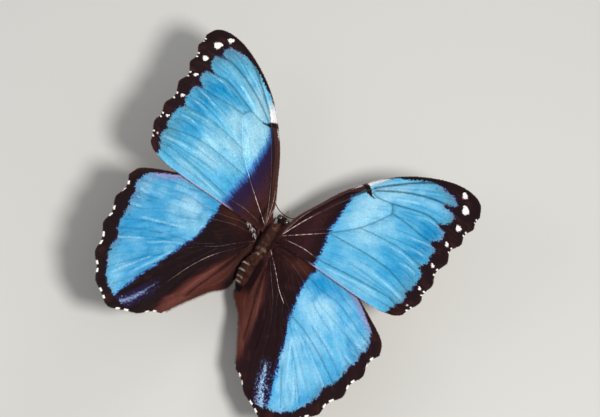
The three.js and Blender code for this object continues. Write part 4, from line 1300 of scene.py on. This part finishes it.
def addBodySkin():
    # rings round the stations from the face to the tail
    share, angle = np.meshgrid(
        np.linspace(0, 1, body["rings"]), np.linspace(0, 2 * math.pi, body["sides"], endpoint=False),
        indexing="ij")
    rings, forward = bodyAt(share, angle)
    points, faces = closedTube(rings)
    colours = bodyColours(forward, angle, 91).reshape(-1, 3)
    piece = addMesh(
        "bodySkin", points, facingOut(points, faces), finishes["bodySkin"],
        tint=withPoles(colours) * 0.6, bakeMap=withPoles(wrapAt(share.ravel(), angle.ravel())))
    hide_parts("head", "thorax", "abdomen")


# a lock of hair is a three-sided spike: two rings and a tip; across, along and out from the skin
lockCorners = np.arange(3) * 2.0944 + 0.5236
lockTemplate = np.array([
    *[(math.cos(turn) * 0.5, 0, math.sin(turn) * 0.3) for turn in lockCorners],
    *[(math.cos(turn) * 0.4, 0.5, math.sin(turn) * 0.24) for turn in lockCorners], (0, 1, 0)])
lockFaces = [
    np.array([(0, 1, 4, 3), (1, 2, 5, 4), (2, 0, 3, 5)])[:, ::-1],
    np.array([(3, 4, 6), (4, 5, 6), (5, 3, 6), (0, 2, 1)])[:, ::-1]]


def locks(root, along, normal, length, width, lift, bend, rng):
    # each lock leaves the skin at its lift angle and bends back towards the lie: along * length * t,
    # plus out * (t * sin(lift) - bend * t^2) * length
    along = turnedInPlane(along, normal, rng.normal(0, 0.22, len(root)))
    across, t, thick = lockTemplate.T
    length, width, lift = length[:, None], width[:, None], lift[:, None]
    rise = (t * np.sin(lift) - bend * t * t) * length + thick * width
    points = laid(
        root, np.cross(along, normal), along, normal, across * width, t * length * np.cos(lift), rise)
    return points, repeated(lockTemplate, lockFaces, len(root))


def addHair(name, slot, points, faces, colours, where, shade=1.0):
    # a mesh of locks with a colour and an unwrap place for each, and a shade for each point of a lock
    count = len(colours)
    shades = np.tile(np.full(len(lockTemplate), shade), count)[:, None]
    addMesh(
        name, points, faces, finishes["hair"], bakeMap=bakePatches(where, lockTemplate, count),
        tint=np.clip(np.repeat(colours, len(lockTemplate), 0) * shades, 0, 1))


hairKinds = {
    "head": {"from": 3.35, "to": 6.12, "count": 3900, "length": (0.35, 0.75), "width": 0.075, "lift": 32,
        "bend": 0.25},
    "thorax": {"from": -8.7, "to": 3.2, "count": 15500, "length": (0.7, 1.35), "width": 0.1, "lift": 24,
        "bend": 0.2},
    "abdomen": {"from": -21.15, "to": -8.7, "count": 13000, "length": (0.5, 0.95), "width": 0.1, "lift": 18,
        "bend": 0.12},
}


def addBodyHair(name, kind, seed):
    # roots spread evenly over the skin's area, hair lying towards the tail
    rng = np.random.default_rng(seed)
    count = kind["count"]
    table = np.linspace(0, 1, 3000)
    stations = splineAt(body["stations"], table)
    forward, girth = stations[:, 0], stations[:, 3:5].mean(1)
    inside = (forward > kind["from"]) & (forward < kind["to"])
    weight = np.where(inside, np.maximum(girth, 0.05) * np.hypot(np.gradient(forward), np.gradient(girth)), 0)
    share = np.interp(rng.uniform(0, 1, count), np.cumsum(weight) / weight.sum(), table)
    angle = rng.uniform(0, 2 * math.pi, count)
    root, atForward = bodyAt(share, angle)
    step, turn = 0.002, 0.02
    tailward = unit(
        bodyAt(np.minimum(share + step, 1), angle)[0] - bodyAt(np.maximum(share - step, 0), angle)[0])
    girthward = unit(bodyAt(share, angle + turn)[0] - bodyAt(share, angle - turn)[0])
    normal = unit(np.cross(girthward, tailward))
    middle = splineAt(body["stations"], share)
    normal = normal * sideOf(normal, root - place(middle[:, 1], middle[:, 0], middle[:, 2]))
    length = rng.uniform(*kind["length"], count) * (0.6 + 0.4 * eased(middle[:, 3], 0.2, 1.2))
    lift = np.radians(kind["lift"] + rng.normal(0, 7, count))
    width = kind["width"] * rng.uniform(0.7, 1.2, count)
    tone = np.where(rng.uniform(0, 1, count) > 0.88, 2.2, rng.uniform(0.65, 1.25, count))
    colours = bodyColours(atForward, angle, seed + 1) * tone[:, None]
    made = locks(root - normal * 0.04, tailward, normal, length, width, lift, kind["bend"], rng)
    addHair(
        "hair" + name.capitalize(), "body", *made, colours, wrapAt(share, angle),
        0.75 + 0.45 * lockTemplate[:, 1])


# Head parts are placed in the head's own frame, which is turned a little to the butterfly's right

head = {"sideways": -0.9, "forward": 4.8, "height": 13.1, "turn": math.radians(8)}


def headPlace(outward, forward, height):
    # a place in the head's own frame, turned about the upright axis and moved to the head's middle
    cos, sin = math.cos(head["turn"]), math.sin(head["turn"])
    return place(
        head["sideways"] + np.asarray(outward) * cos - np.asarray(forward) * sin,
        head["forward"] + np.asarray(forward) * cos + np.asarray(outward) * sin,
        head["height"] + np.asarray(height))


eye = {
    "radius": 1.1, "outward": 1.15, "forward": 0.25, "height": 0.3,
    "dark": linear("150c0c"), "brown": linear("34191a"),
}


def addEye(side, hand):
    # a ball with facets as bump, its poles front and back; slightly flattened towards the head
    node = "eye_" + hand
    rows, columns = 48, 64
    down, girthward = np.meshgrid(
        np.linspace(0.02, math.pi - 0.02, rows), np.linspace(0, 2 * math.pi, columns, endpoint=False),
        indexing="ij")
    middle = headPlace(side * eye["outward"], eye["forward"], eye["height"])
    ball = np.stack([
        np.sin(down) * np.cos(girthward) * 0.97, np.cos(down), np.sin(down) * np.sin(girthward)], -1)
    points, faces = closedTube(middle + ball * eye["radius"])
    bands = 0.5 + 0.5 * np.sin(ball[..., 2] * 9 + ball[..., 1] * 2)
    tint = over(plain(eye["dark"], bands), eye["brown"], 0.8 * bands).reshape(-1, 3)
    piece = addMesh(
        node.replace("_", ""), points, facingOut(points, faces), finishes["eye"], tint=withPoles(tint))
    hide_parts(node)


def hairOnTube(path, radius, count, length, width, lift, colour, rng):
    # short locks round a tube, lying towards its end
    t = rng.uniform(0.02, 0.97, count)
    angle = rng.uniform(0, 2 * math.pi, count)
    at = t * (len(path) - 1)
    k = np.minimum(at.astype(int), len(path) - 2)
    part = (at - k)[:, None]
    along = unit(path[k + 1] - path[k])
    sideways = unit(np.cross(along, np.array([0.11, 0.17, 1.0])))
    normal = sideways * np.cos(angle)[:, None] + np.cross(sideways, along) * np.sin(angle)[:, None]
    reach = np.interp(at, np.arange(len(path)), radius)
    root = path[k] * (1 - part) + path[k + 1] * part + normal * (reach * 0.9)[:, None]
    size = length * rng.uniform(0.6, 1.2, count)
    lifts = np.radians(lift + rng.normal(0, 8, count))
    points, faces = locks(root, along, normal, size, np.full(count, width), lifts, 0.1, rng)
    return points, faces, colour * (1 + 0.2 * rng.uniform(-1, 1, count))[:, None], wrapAt(t, angle)


def addTube(node, finish, tube, solid=None):
    # a mesh of tubes that stands for a node, with nothing under the floor; named after the node
    points, faces, tint = tube
    points[:, 2] = np.maximum(points[:, 2], 0.0)
    piece = addMesh(node.replace("_", ""), points, faces, finish, tint=tint)
    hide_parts(solid or node)


antenna = {
    "places": [(0.32, 6.35, 14.15), (3, 7.9, 11.9), (7, 11.3, 12), (14.4, 18.9, 14.2)],
    "radius": 0.16, "club": 0.34, "clubShare": 0.24, "joints": 44,
    "brown": linear("4f2c1c"), "tip": linear("7c4a26"), "ring": linear("211614"),
}


def addAntenna(side, hand):
    # a fine jointed feeler: radius swells to a club over the last part, pinched at every joint
    lean = head["sideways"] * (1 - np.arange(4) / 3)
    places = [(side * x + lean[i], y, z) for i, (x, y, z) in enumerate(antenna["places"])]
    path = place(*evenSpline(places, 440).T)
    share = np.linspace(0, 1, len(path))
    joint = share * antenna["joints"]
    joint = np.abs(joint - np.floor(joint) - 0.5)
    clubbed = eased(share, 1 - antenna["clubShare"], 0.93)
    radius = antenna["radius"] + (antenna["club"] - antenna["radius"]) * clubbed
    radius *= (1 - 0.16 * (joint > 0.42)) * np.sqrt(1 - eased(share, 0.965, 1.0) * 0.9)
    colours = layered(
        plain(antenna["brown"], share),
        (antenna["tip"], eased(share, 0.82, 0.95)),
        (antenna["ring"], 0.7 * (joint > 0.36)))
    base = 0.14 * np.exp(-(share / 0.012) ** 2)
    tube = ringedTube(path, radius + base, 10, colours, (0.2, 0.1, 1))
    addTube("antenna_" + hand, finishes["horn"], tube)


tongue = {
    "coilRadius": 1.05, "tubeRadius": 0.25, "turns": 1.35, "rings": 85, "forward": 0.3, "below": 2.95,
    "amber": linear("6b3f1e"), "dark": linear("2c1a12"),
}


def addTongue():
    # a flat coil under the head: radius * (1 - 0.62t) at pi/2 - t * turns * 2 pi, thinning inward, ringed
    t = np.linspace(0, 1, 260)
    radius = tongue["coilRadius"] * (1 - 0.62 * t)
    angle = math.pi / 2 - t * tongue["turns"] * 2 * math.pi
    path = headPlace(
        np.zeros_like(t), tongue["forward"] + radius * np.cos(angle),
        radius * np.sin(angle) - tongue["below"])
    ring = np.sin(t * tongue["rings"] * math.pi) ** 2
    thick = tongue["tubeRadius"] * (1 - 0.45 * t) * (0.93 + 0.07 * ring)
    colours = over(plain(tongue["amber"], t), tongue["dark"], 0.6 * (1 - ring))
    tube = ringedTube(path, thick, 14, colours, (1, 0.05, 0.02))
    addTube("tongue", finishes["horn"], tube, "proboscis")


palp = {
    "radius": 0.27, "hairs": 1100, "dark": linear("3a2d27"),
    "taper": ([0, 0.45, 0.75, 0.93, 1], [0.7, 1, 0.85, 0.5, 0.25]),     # radius at shares of the length
}


def addPalp(side, hand, seed):
    # a curved, blunt stalk in front of the face, covered in pale scales
    rng = np.random.default_rng(seed)
    t = np.linspace(0, 1, 60)
    path = headPlace(side * (0.48 + 0.12 * t), 1.45 + 0.3 + 2.6 * t * (1 - 0.25 * t), 1.1 * t * t - 0.85)
    path = evenAlong(np.concatenate([headPlace(side * 0.42, 0.4, -0.7)[None], path]), 60)
    share = np.linspace(0, 1, len(path))
    radius = palp["radius"] * np.interp(share, *palp["taper"])
    colours = over(plain(palp["dark"], share), bodyPaint["palp"], 0.7 * eased(share, 0.1, 0.5))
    addTube("palp_" + hand, finishes["bodySkin"], ringedTube(path, radius, 16, colours))
    hair = hairOnTube(path, radius, palp["hairs"], 0.36, 0.09, 22, bodyPaint["palp"], rng)
    addHair("palpScales" + hand, "palp", *hair)


legs = {
    "fore": {
        "hip": (0.6, 1.5, 10.9),
        "places": [(0.9, 2.4, 8.9), (1.3, 3.6, 8.1), (1.5, 5.6, 8.6), (1.3, 6.6, 7.4)],
        "radii": [0.36, 0.32, 0.28, 0.16], "hairs": 420, "hairLength": 0.42, "hipHairs": 200, "foot": False,
    },
    "mid": {
        "hip": (0.75, 0.4, 10.4), "radii": [0.46, 0.36, 0.26, 0.25, 0.24, 0.2],
        "places": [
            (1.5, 0.3, 8.05), (6, 3.4, 9.9), (9.6, 7.9, 1.1), (10.1, 8.5, 0.27), (10.7, 9.3, 0.27),
            (12.5, 11.7, 0.27)],
        "hairs": 520, "hairLength": 0.26, "hipHairs": 320, "foot": True,
    },
    "hind": {
        "hip": (0.75, -4.3, 10.4), "radii": [0.48, 0.36, 0.26, 0.25, 0.24, 0.2],
        "places": [
            (1.5, -4.6, 8.05), (5.6, -7.4, 9.6), (8.8, -14, 1.1), (9.1, -14.7, 0.27), (9.5, -15.6, 0.27),
            (10.7, -18.4, 0.27)],
        "hairs": 520, "hairLength": 0.26, "hipHairs": 320, "foot": True,
    },
}
legShape = {
    "pinch": 0.3, "pinchReach": 0.16, "thigh": 0.28, "footJoints": 6,
    "hipWidth": 1.12, "hipSwell": 0.3, "hipSunk": 0.12, "hipCap": 0.2,
}
claw = {"radius": 0.06, "back": 0.1, "length": 0.42, "spread": 0.2, "hump": 0.12, "droop": 0.15}
thorn = {"radius": 0.035, "pairs": 22, "length": 0.3, "spread": 0.75, "slant": 0.6}
legPaint = paints(top="33251d", joint="1c1412", pale="8f7b63")


def lengthsAlong(points):
    # the distance run at each of a line's points
    return np.concatenate([[0], np.cumsum(np.linalg.norm(np.diff(points, axis=0), axis=1))])


def legTube(leg, corners):
    # straight segments with rounded knees: the radius pinches at each knee and at the foot's short joints,
    # and swells by sin(pi * share) on the first segment
    t = np.linspace(0, 1, 30, endpoint=False)[:, None]
    line = [start + (end - start) * t for start, end in zip(corners[:-1], corners[1:])]
    path = evenAlong(np.concatenate([*line, corners[-1:]]), 260)
    for _ in range(6):
        path[1:-1] = 0.25 * path[:-2] + 0.5 * path[1:-1] + 0.25 * path[2:]
    run = lengthsAlong(path)
    knees = lengthsAlong(corners)
    knees = knees / knees[-1] * run[-1]
    marks = knees[1:-1]
    if leg["foot"]:
        marks = [*knees[1:3], *np.linspace(knees[2], run[-1], legShape["footJoints"] + 1)[1:-1]]
    pinch = np.max([np.exp(-((run - mark) / legShape["pinchReach"]) ** 2) for mark in marks], axis=0)
    thigh = np.sin(math.pi * np.clip(run / knees[1], 0, 1)) * legShape["thigh"] * (run < knees[1])
    radius = np.interp(run, knees, leg["radii"]) * (1 - legShape["pinch"] * pinch + thigh)
    radius = radius * np.sqrt(np.clip((run[-1] - run) / 0.2 + 0.15, 0, 1))
    return path, radius, pinch, run, knees


def clawsAndThorns(path, radius, run, knees):
    # two curved claws at the foot's end, and pairs of thorns in two rows along shin and foot
    parts = []
    t = np.linspace(0, 1, 12)[:, None]
    heading = unit(path[-1] - path[-12])
    beside = unit(np.cross(heading, (0, 0, 1.0)))
    upward = np.array([0, 0, 1.0])
    for lean in (-1, 1):
        line = path[-1] - heading * claw["back"] + heading * claw["length"] * t
        line = line + beside * lean * claw["spread"] * t
        line = line + upward * (claw["hump"] * np.sin(math.pi * t) - claw["droop"] * t * t)
        colours = plain(legPaint["joint"], t[:, 0])
        parts.append(ringedTube(line, claw["radius"] * (1 - 0.85 * t[:, 0]), 8, colours))
    t = np.linspace(0, 1, 5)[:, None]
    for reach in np.linspace(knees[1] + 1, run[-1] - 0.8, thorn["pairs"]):
        at = int(np.interp(reach, run, np.arange(len(run))))
        heading = unit(path[at + 1] - path[at])
        beside = unit(np.cross(heading, (0, 0, 1.0)))
        for lean in (-1, 1):
            out = beside * lean * thorn["spread"] + heading * thorn["slant"]
            line = path[at] + out * (radius[at] * 0.8 + thorn["length"] * t)
            colours = plain(legPaint["joint"], t[:, 0])
            parts.append(ringedTube(line, thorn["radius"] * (1 - 0.8 * t[:, 0]), 5, colours))
    return parts


def addLeg(side, name, hand, seed):
    # hip, segments, claws and thorns as one mesh, and fine scales over hip and segments as another
    rng = np.random.default_rng(seed)
    leg, node = legs[name], "leg_" + name + "_" + hand
    corners = np.array([place(side * x, y, z) for x, y, z in leg["places"]])
    path, radius, pinch, run, knees = legTube(leg, corners)
    t = np.linspace(0, 1, 40)
    hip = place(side * leg["hip"][0], *leg["hip"][1:])
    hipPath = hip + (corners[0] + legShape["hipSunk"] * unit(corners[0] - hip) - hip) * t[:, None]
    hipRadius = leg["radii"][0] * (legShape["hipWidth"] + legShape["hipSwell"] * np.sin(math.pi * t))
    hipRadius = hipRadius * np.sqrt(np.clip((1.004 - t) / legShape["hipCap"], 0, 1))
    parts = [
        ringedTube(path, radius, 12, over(plain(legPaint["top"], run), legPaint["joint"], pinch)),
        ringedTube(hipPath, hipRadius, 14, plain(legPaint["top"], t))]
    if leg["foot"]:
        parts += clawsAndThorns(path, radius, run, knees)
    addTube(node, finishes["horn"], joined(parts))
    colour = over(legPaint["top"], legPaint["pale"], 0.25)
    points, faces, colours, where = joined([
        hairOnTube(path, radius, leg["hairs"], leg["hairLength"], 0.07, 18, colour, rng),
        hairOnTube(hipPath, hipRadius, leg["hipHairs"], 0.7, 0.09, 24, colour, rng)])
    points[:, 2] = np.maximum(points[:, 2], 0.0)
    addHair("legScales" + name + hand, "limb", points, faces, colours, where)


wingHair = {
    "base": {"count": 1500, "reach": 7.5, "length": (0.9, 1.9), "width": 0.07, "lift": 14},
    "innerMargin": {"count": 1500, "length": (0.5, 1.3), "width": 0.05, "inward": 1.4},
    "tuft": {"count": 39, "length": (1.5, 3.0), "width": 0.13, "lift": 0.25, "heading": (-0.72, 0.65, 0.0)},
}


def addWingHair(sheet, seed):
    # long hair over the wing's root lying outward, thinning with distance from the joint; on a hindwing
    # also a fringe of hair over its inner margin
    rng = np.random.default_rng(seed)
    kind, edgeKind = wingHair["base"], wingHair["innerMargin"]
    turn = rng.uniform(-1.3, 0.95 if sheet["wing"]["fore"] else 0.5, kind["count"])
    reach = 0.3 + kind["reach"] * rng.uniform(0, 1, kind["count"]) ** 1.4
    places = np.stack([reach * np.cos(turn), reach * np.sin(turn)], 1)
    uv = sharesOf(sheet, places)
    found = sheetAt(sheet, sheet["flat"], *uv.T)
    uv = uv[(np.linalg.norm(found - places, axis=1) < 0.1) & (uv[:, 1] > 0.02) & (uv[:, 1] < 0.98)]
    near = np.ones(len(uv), bool)
    if not sheet["wing"]["fore"]:
        more = edgeKind["count"]
        edgeUv = np.stack([rng.uniform(0.03, 0.97, more), rng.uniform(0.985, 0.999, more)], 1)
        uv = np.concatenate([uv, edgeUv])
        near = np.concatenate([near, np.zeros(more, bool)])
    count = len(uv)
    step = 0.01
    root = sheetAt(sheet, sheet["middle"], *uv.T) + sheet["upward"] * 0.05
    inner = unit(stepOver(sheet, *uv.T, 0, step)) * np.where(near, 0, edgeKind["inward"])[:, None]
    along = unit(unit(stepOver(sheet, *uv.T, step, 0)) + inner)
    normal = squareTo(sheet["upward"], along)
    length = np.where(near, rng.uniform(*kind["length"], count), rng.uniform(*edgeKind["length"], count))
    width = np.where(near, kind["width"], edgeKind["width"])
    at = fieldsAt(sheet, *uv.T)
    colours, _ = topColours(sheet, at, 17)
    lift = np.radians(kind["lift"] + rng.normal(0, 4, count))
    made = locks(root, along, normal, length, width, lift, 0.12, rng)
    addHair(
        "hairWing" + sheet["name"], "wing", *made, colours * rng.uniform(0.8, 1.5, count)[:, None],
        unwrapAt(sheet, at["a"], at["b"]))


def addPaleTufts(sheet):
    # whitish hair that stands up through the joint between the left wings, in three bunches
    rng = np.random.default_rng(505)
    kind = wingHair["tuft"]
    count = kind["count"]
    bunch = np.arange(count) % 3
    places = np.array([(5.0, 0.8), (3.1, 0.1), (1.2, -0.7)])[bunch]
    places = places + rng.uniform(-0.7, 0.7, (count, 2)) * (1, 0.7)
    root, _ = liftedAt(sheet, places)
    along = unit(np.array(kind["heading"]) + rng.normal(0, 0.11, (count, 3)))
    length = rng.uniform(*kind["length"], count) * np.array([1.0, 0.75, 0.5])[bunch]
    start = root + sheet["upward"] * 0.5 - along * (length * 0.5)[:, None]
    width, lift = np.full(count, kind["width"]), np.full(count, kind["lift"])
    made = locks(start, along, squareTo(sheet["upward"], along), length, width, lift, 0.2, rng)
    addHair(
        "hairPaleTufts", "body", *made, bodyPaint["tuft"] * rng.uniform(0.7, 1.05, count)[:, None],
        0.1 + 0.8 * rng.uniform(0, 1, (count, 2)))


addBodySkin()
for number, (name, kind) in enumerate(hairKinds.items()):
    addBodyHair(name, kind, 600 + number * 10)
for number, sheet in enumerate(sheets.values()):
    addWingHair(sheet, 700 + number)
addPaleTufts(sheets["HindLeft"])
print("stage: body and hair")
for side, hand in ((1, "left"), (-1, "right")):
    addEye(side, hand)
    addAntenna(side, hand)
    addPalp(side, hand, 800 + side)
    for number, name in enumerate(legs):
        addLeg(side, name, hand, 900 + number * 4 + side)
addTongue()
print("stage: head parts and legs")


# Floor, lights and camera

stageLook = {
    "floor": linear("cfceca"), "floorHalf": 3.0,      # metres
    "sky": (0.95, 0.97, 1.0), "skyStrength": 0.3,
    "aim": (0, 0, 15.0),                              # where the lamps face, millimetres
}
view = {
    "lens": 108.0, "sensor": 36.0, "place": (1.34, 175.21, 540.13),
    "elevation": 70.0, "azimuth": 1.12, "roll": 33.33,      # degrees; azimuth from the tail's side
}
lamps = {
    "key": {"place": (-190, 70, 510), "size": 130, "power": 2.35, "colour": (1.0, 0.98, 0.95)},
    "fill": {"place": (330, 160, 260), "size": 260, "power": 0.35, "colour": (0.94, 0.97, 1.0)},
    "rim": {"place": (60, -420, 220), "size": 200, "power": 0.35, "colour": (1.0, 0.98, 0.96)},
}


def placed(name, data, axes, spot):
    # an object at a place in millimetres, its own x, y and z along the three axes
    holder = bpy.data.objects.new(name, data)
    bpy.context.scene.collection.objects.link(holder)
    rows = np.column_stack([*axes, np.array(spot) * millimetre])
    holder.matrix_world = Matrix([*rows.tolist(), [0, 0, 0, 1]])
    return holder


def addStage():
    # a floor, a plain sky and three round lamps that all face the same point
    half = stageLook["floorHalf"]
    mesh = bpy.data.meshes.new("floor")
    corners = [(-half, -half, 0), (half, -half, 0), (half, half, 0), (-half, half, 0)]
    mesh.from_pydata(corners, [], [(0, 1, 2, 3)])
    mesh.materials.append(newFinish(
        "paleFloor", Base_Color=(*stageLook["floor"], 1), Roughness=0.75, Specular_IOR_Level=0.25)[0])
    placed("floor", mesh, np.eye(3), (0, 0, 0))
    world = bpy.data.worlds.new("studio")
    world.use_nodes = True
    background = world.node_tree.nodes["Background"]
    background.inputs["Color"].default_value = (*stageLook["sky"], 1)
    background.inputs["Strength"].default_value = stageLook["skyStrength"]
    bpy.context.scene.world = world
    for name, lamp in lamps.items():
        light = bpy.data.lights.new(name, "AREA")
        light.shape, light.size = "DISK", lamp["size"] * millimetre
        light.energy, light.color = lamp["power"], lamp["colour"]
        toward = unit(np.array(stageLook["aim"]) - np.array(lamp["place"]))
        side = unit(np.cross(toward, (0, 0, 1.0)))
        placed(name, light, (side, np.cross(side, toward), -toward), lamp["place"])


def addCamera():
    # looks back along the direction given by azimuth and elevation, and is rolled about it
    camera = bpy.data.cameras.new("camera")
    camera.lens, camera.sensor_width = view["lens"], view["sensor"]
    camera.clip_start, camera.clip_end = 0.01, 10
    elevation, azimuth, roll = (math.radians(view[key]) for key in ("elevation", "azimuth", "roll"))
    back = np.array([
        math.sin(azimuth) * math.cos(elevation), math.cos(azimuth) * math.cos(elevation),
        math.sin(elevation)])
    level = unit(np.cross((0, 0, 1.0), back))
    right = level * math.cos(roll) + np.cross(back, level) * math.sin(roll)
    bpy.context.scene.camera = placed("camera", camera, (right, np.cross(back, right), back), view["place"])


addStage()
addCamera()
bpy.context.scene.view_settings.view_transform = "Standard"
print("stage: floor, lights and camera")
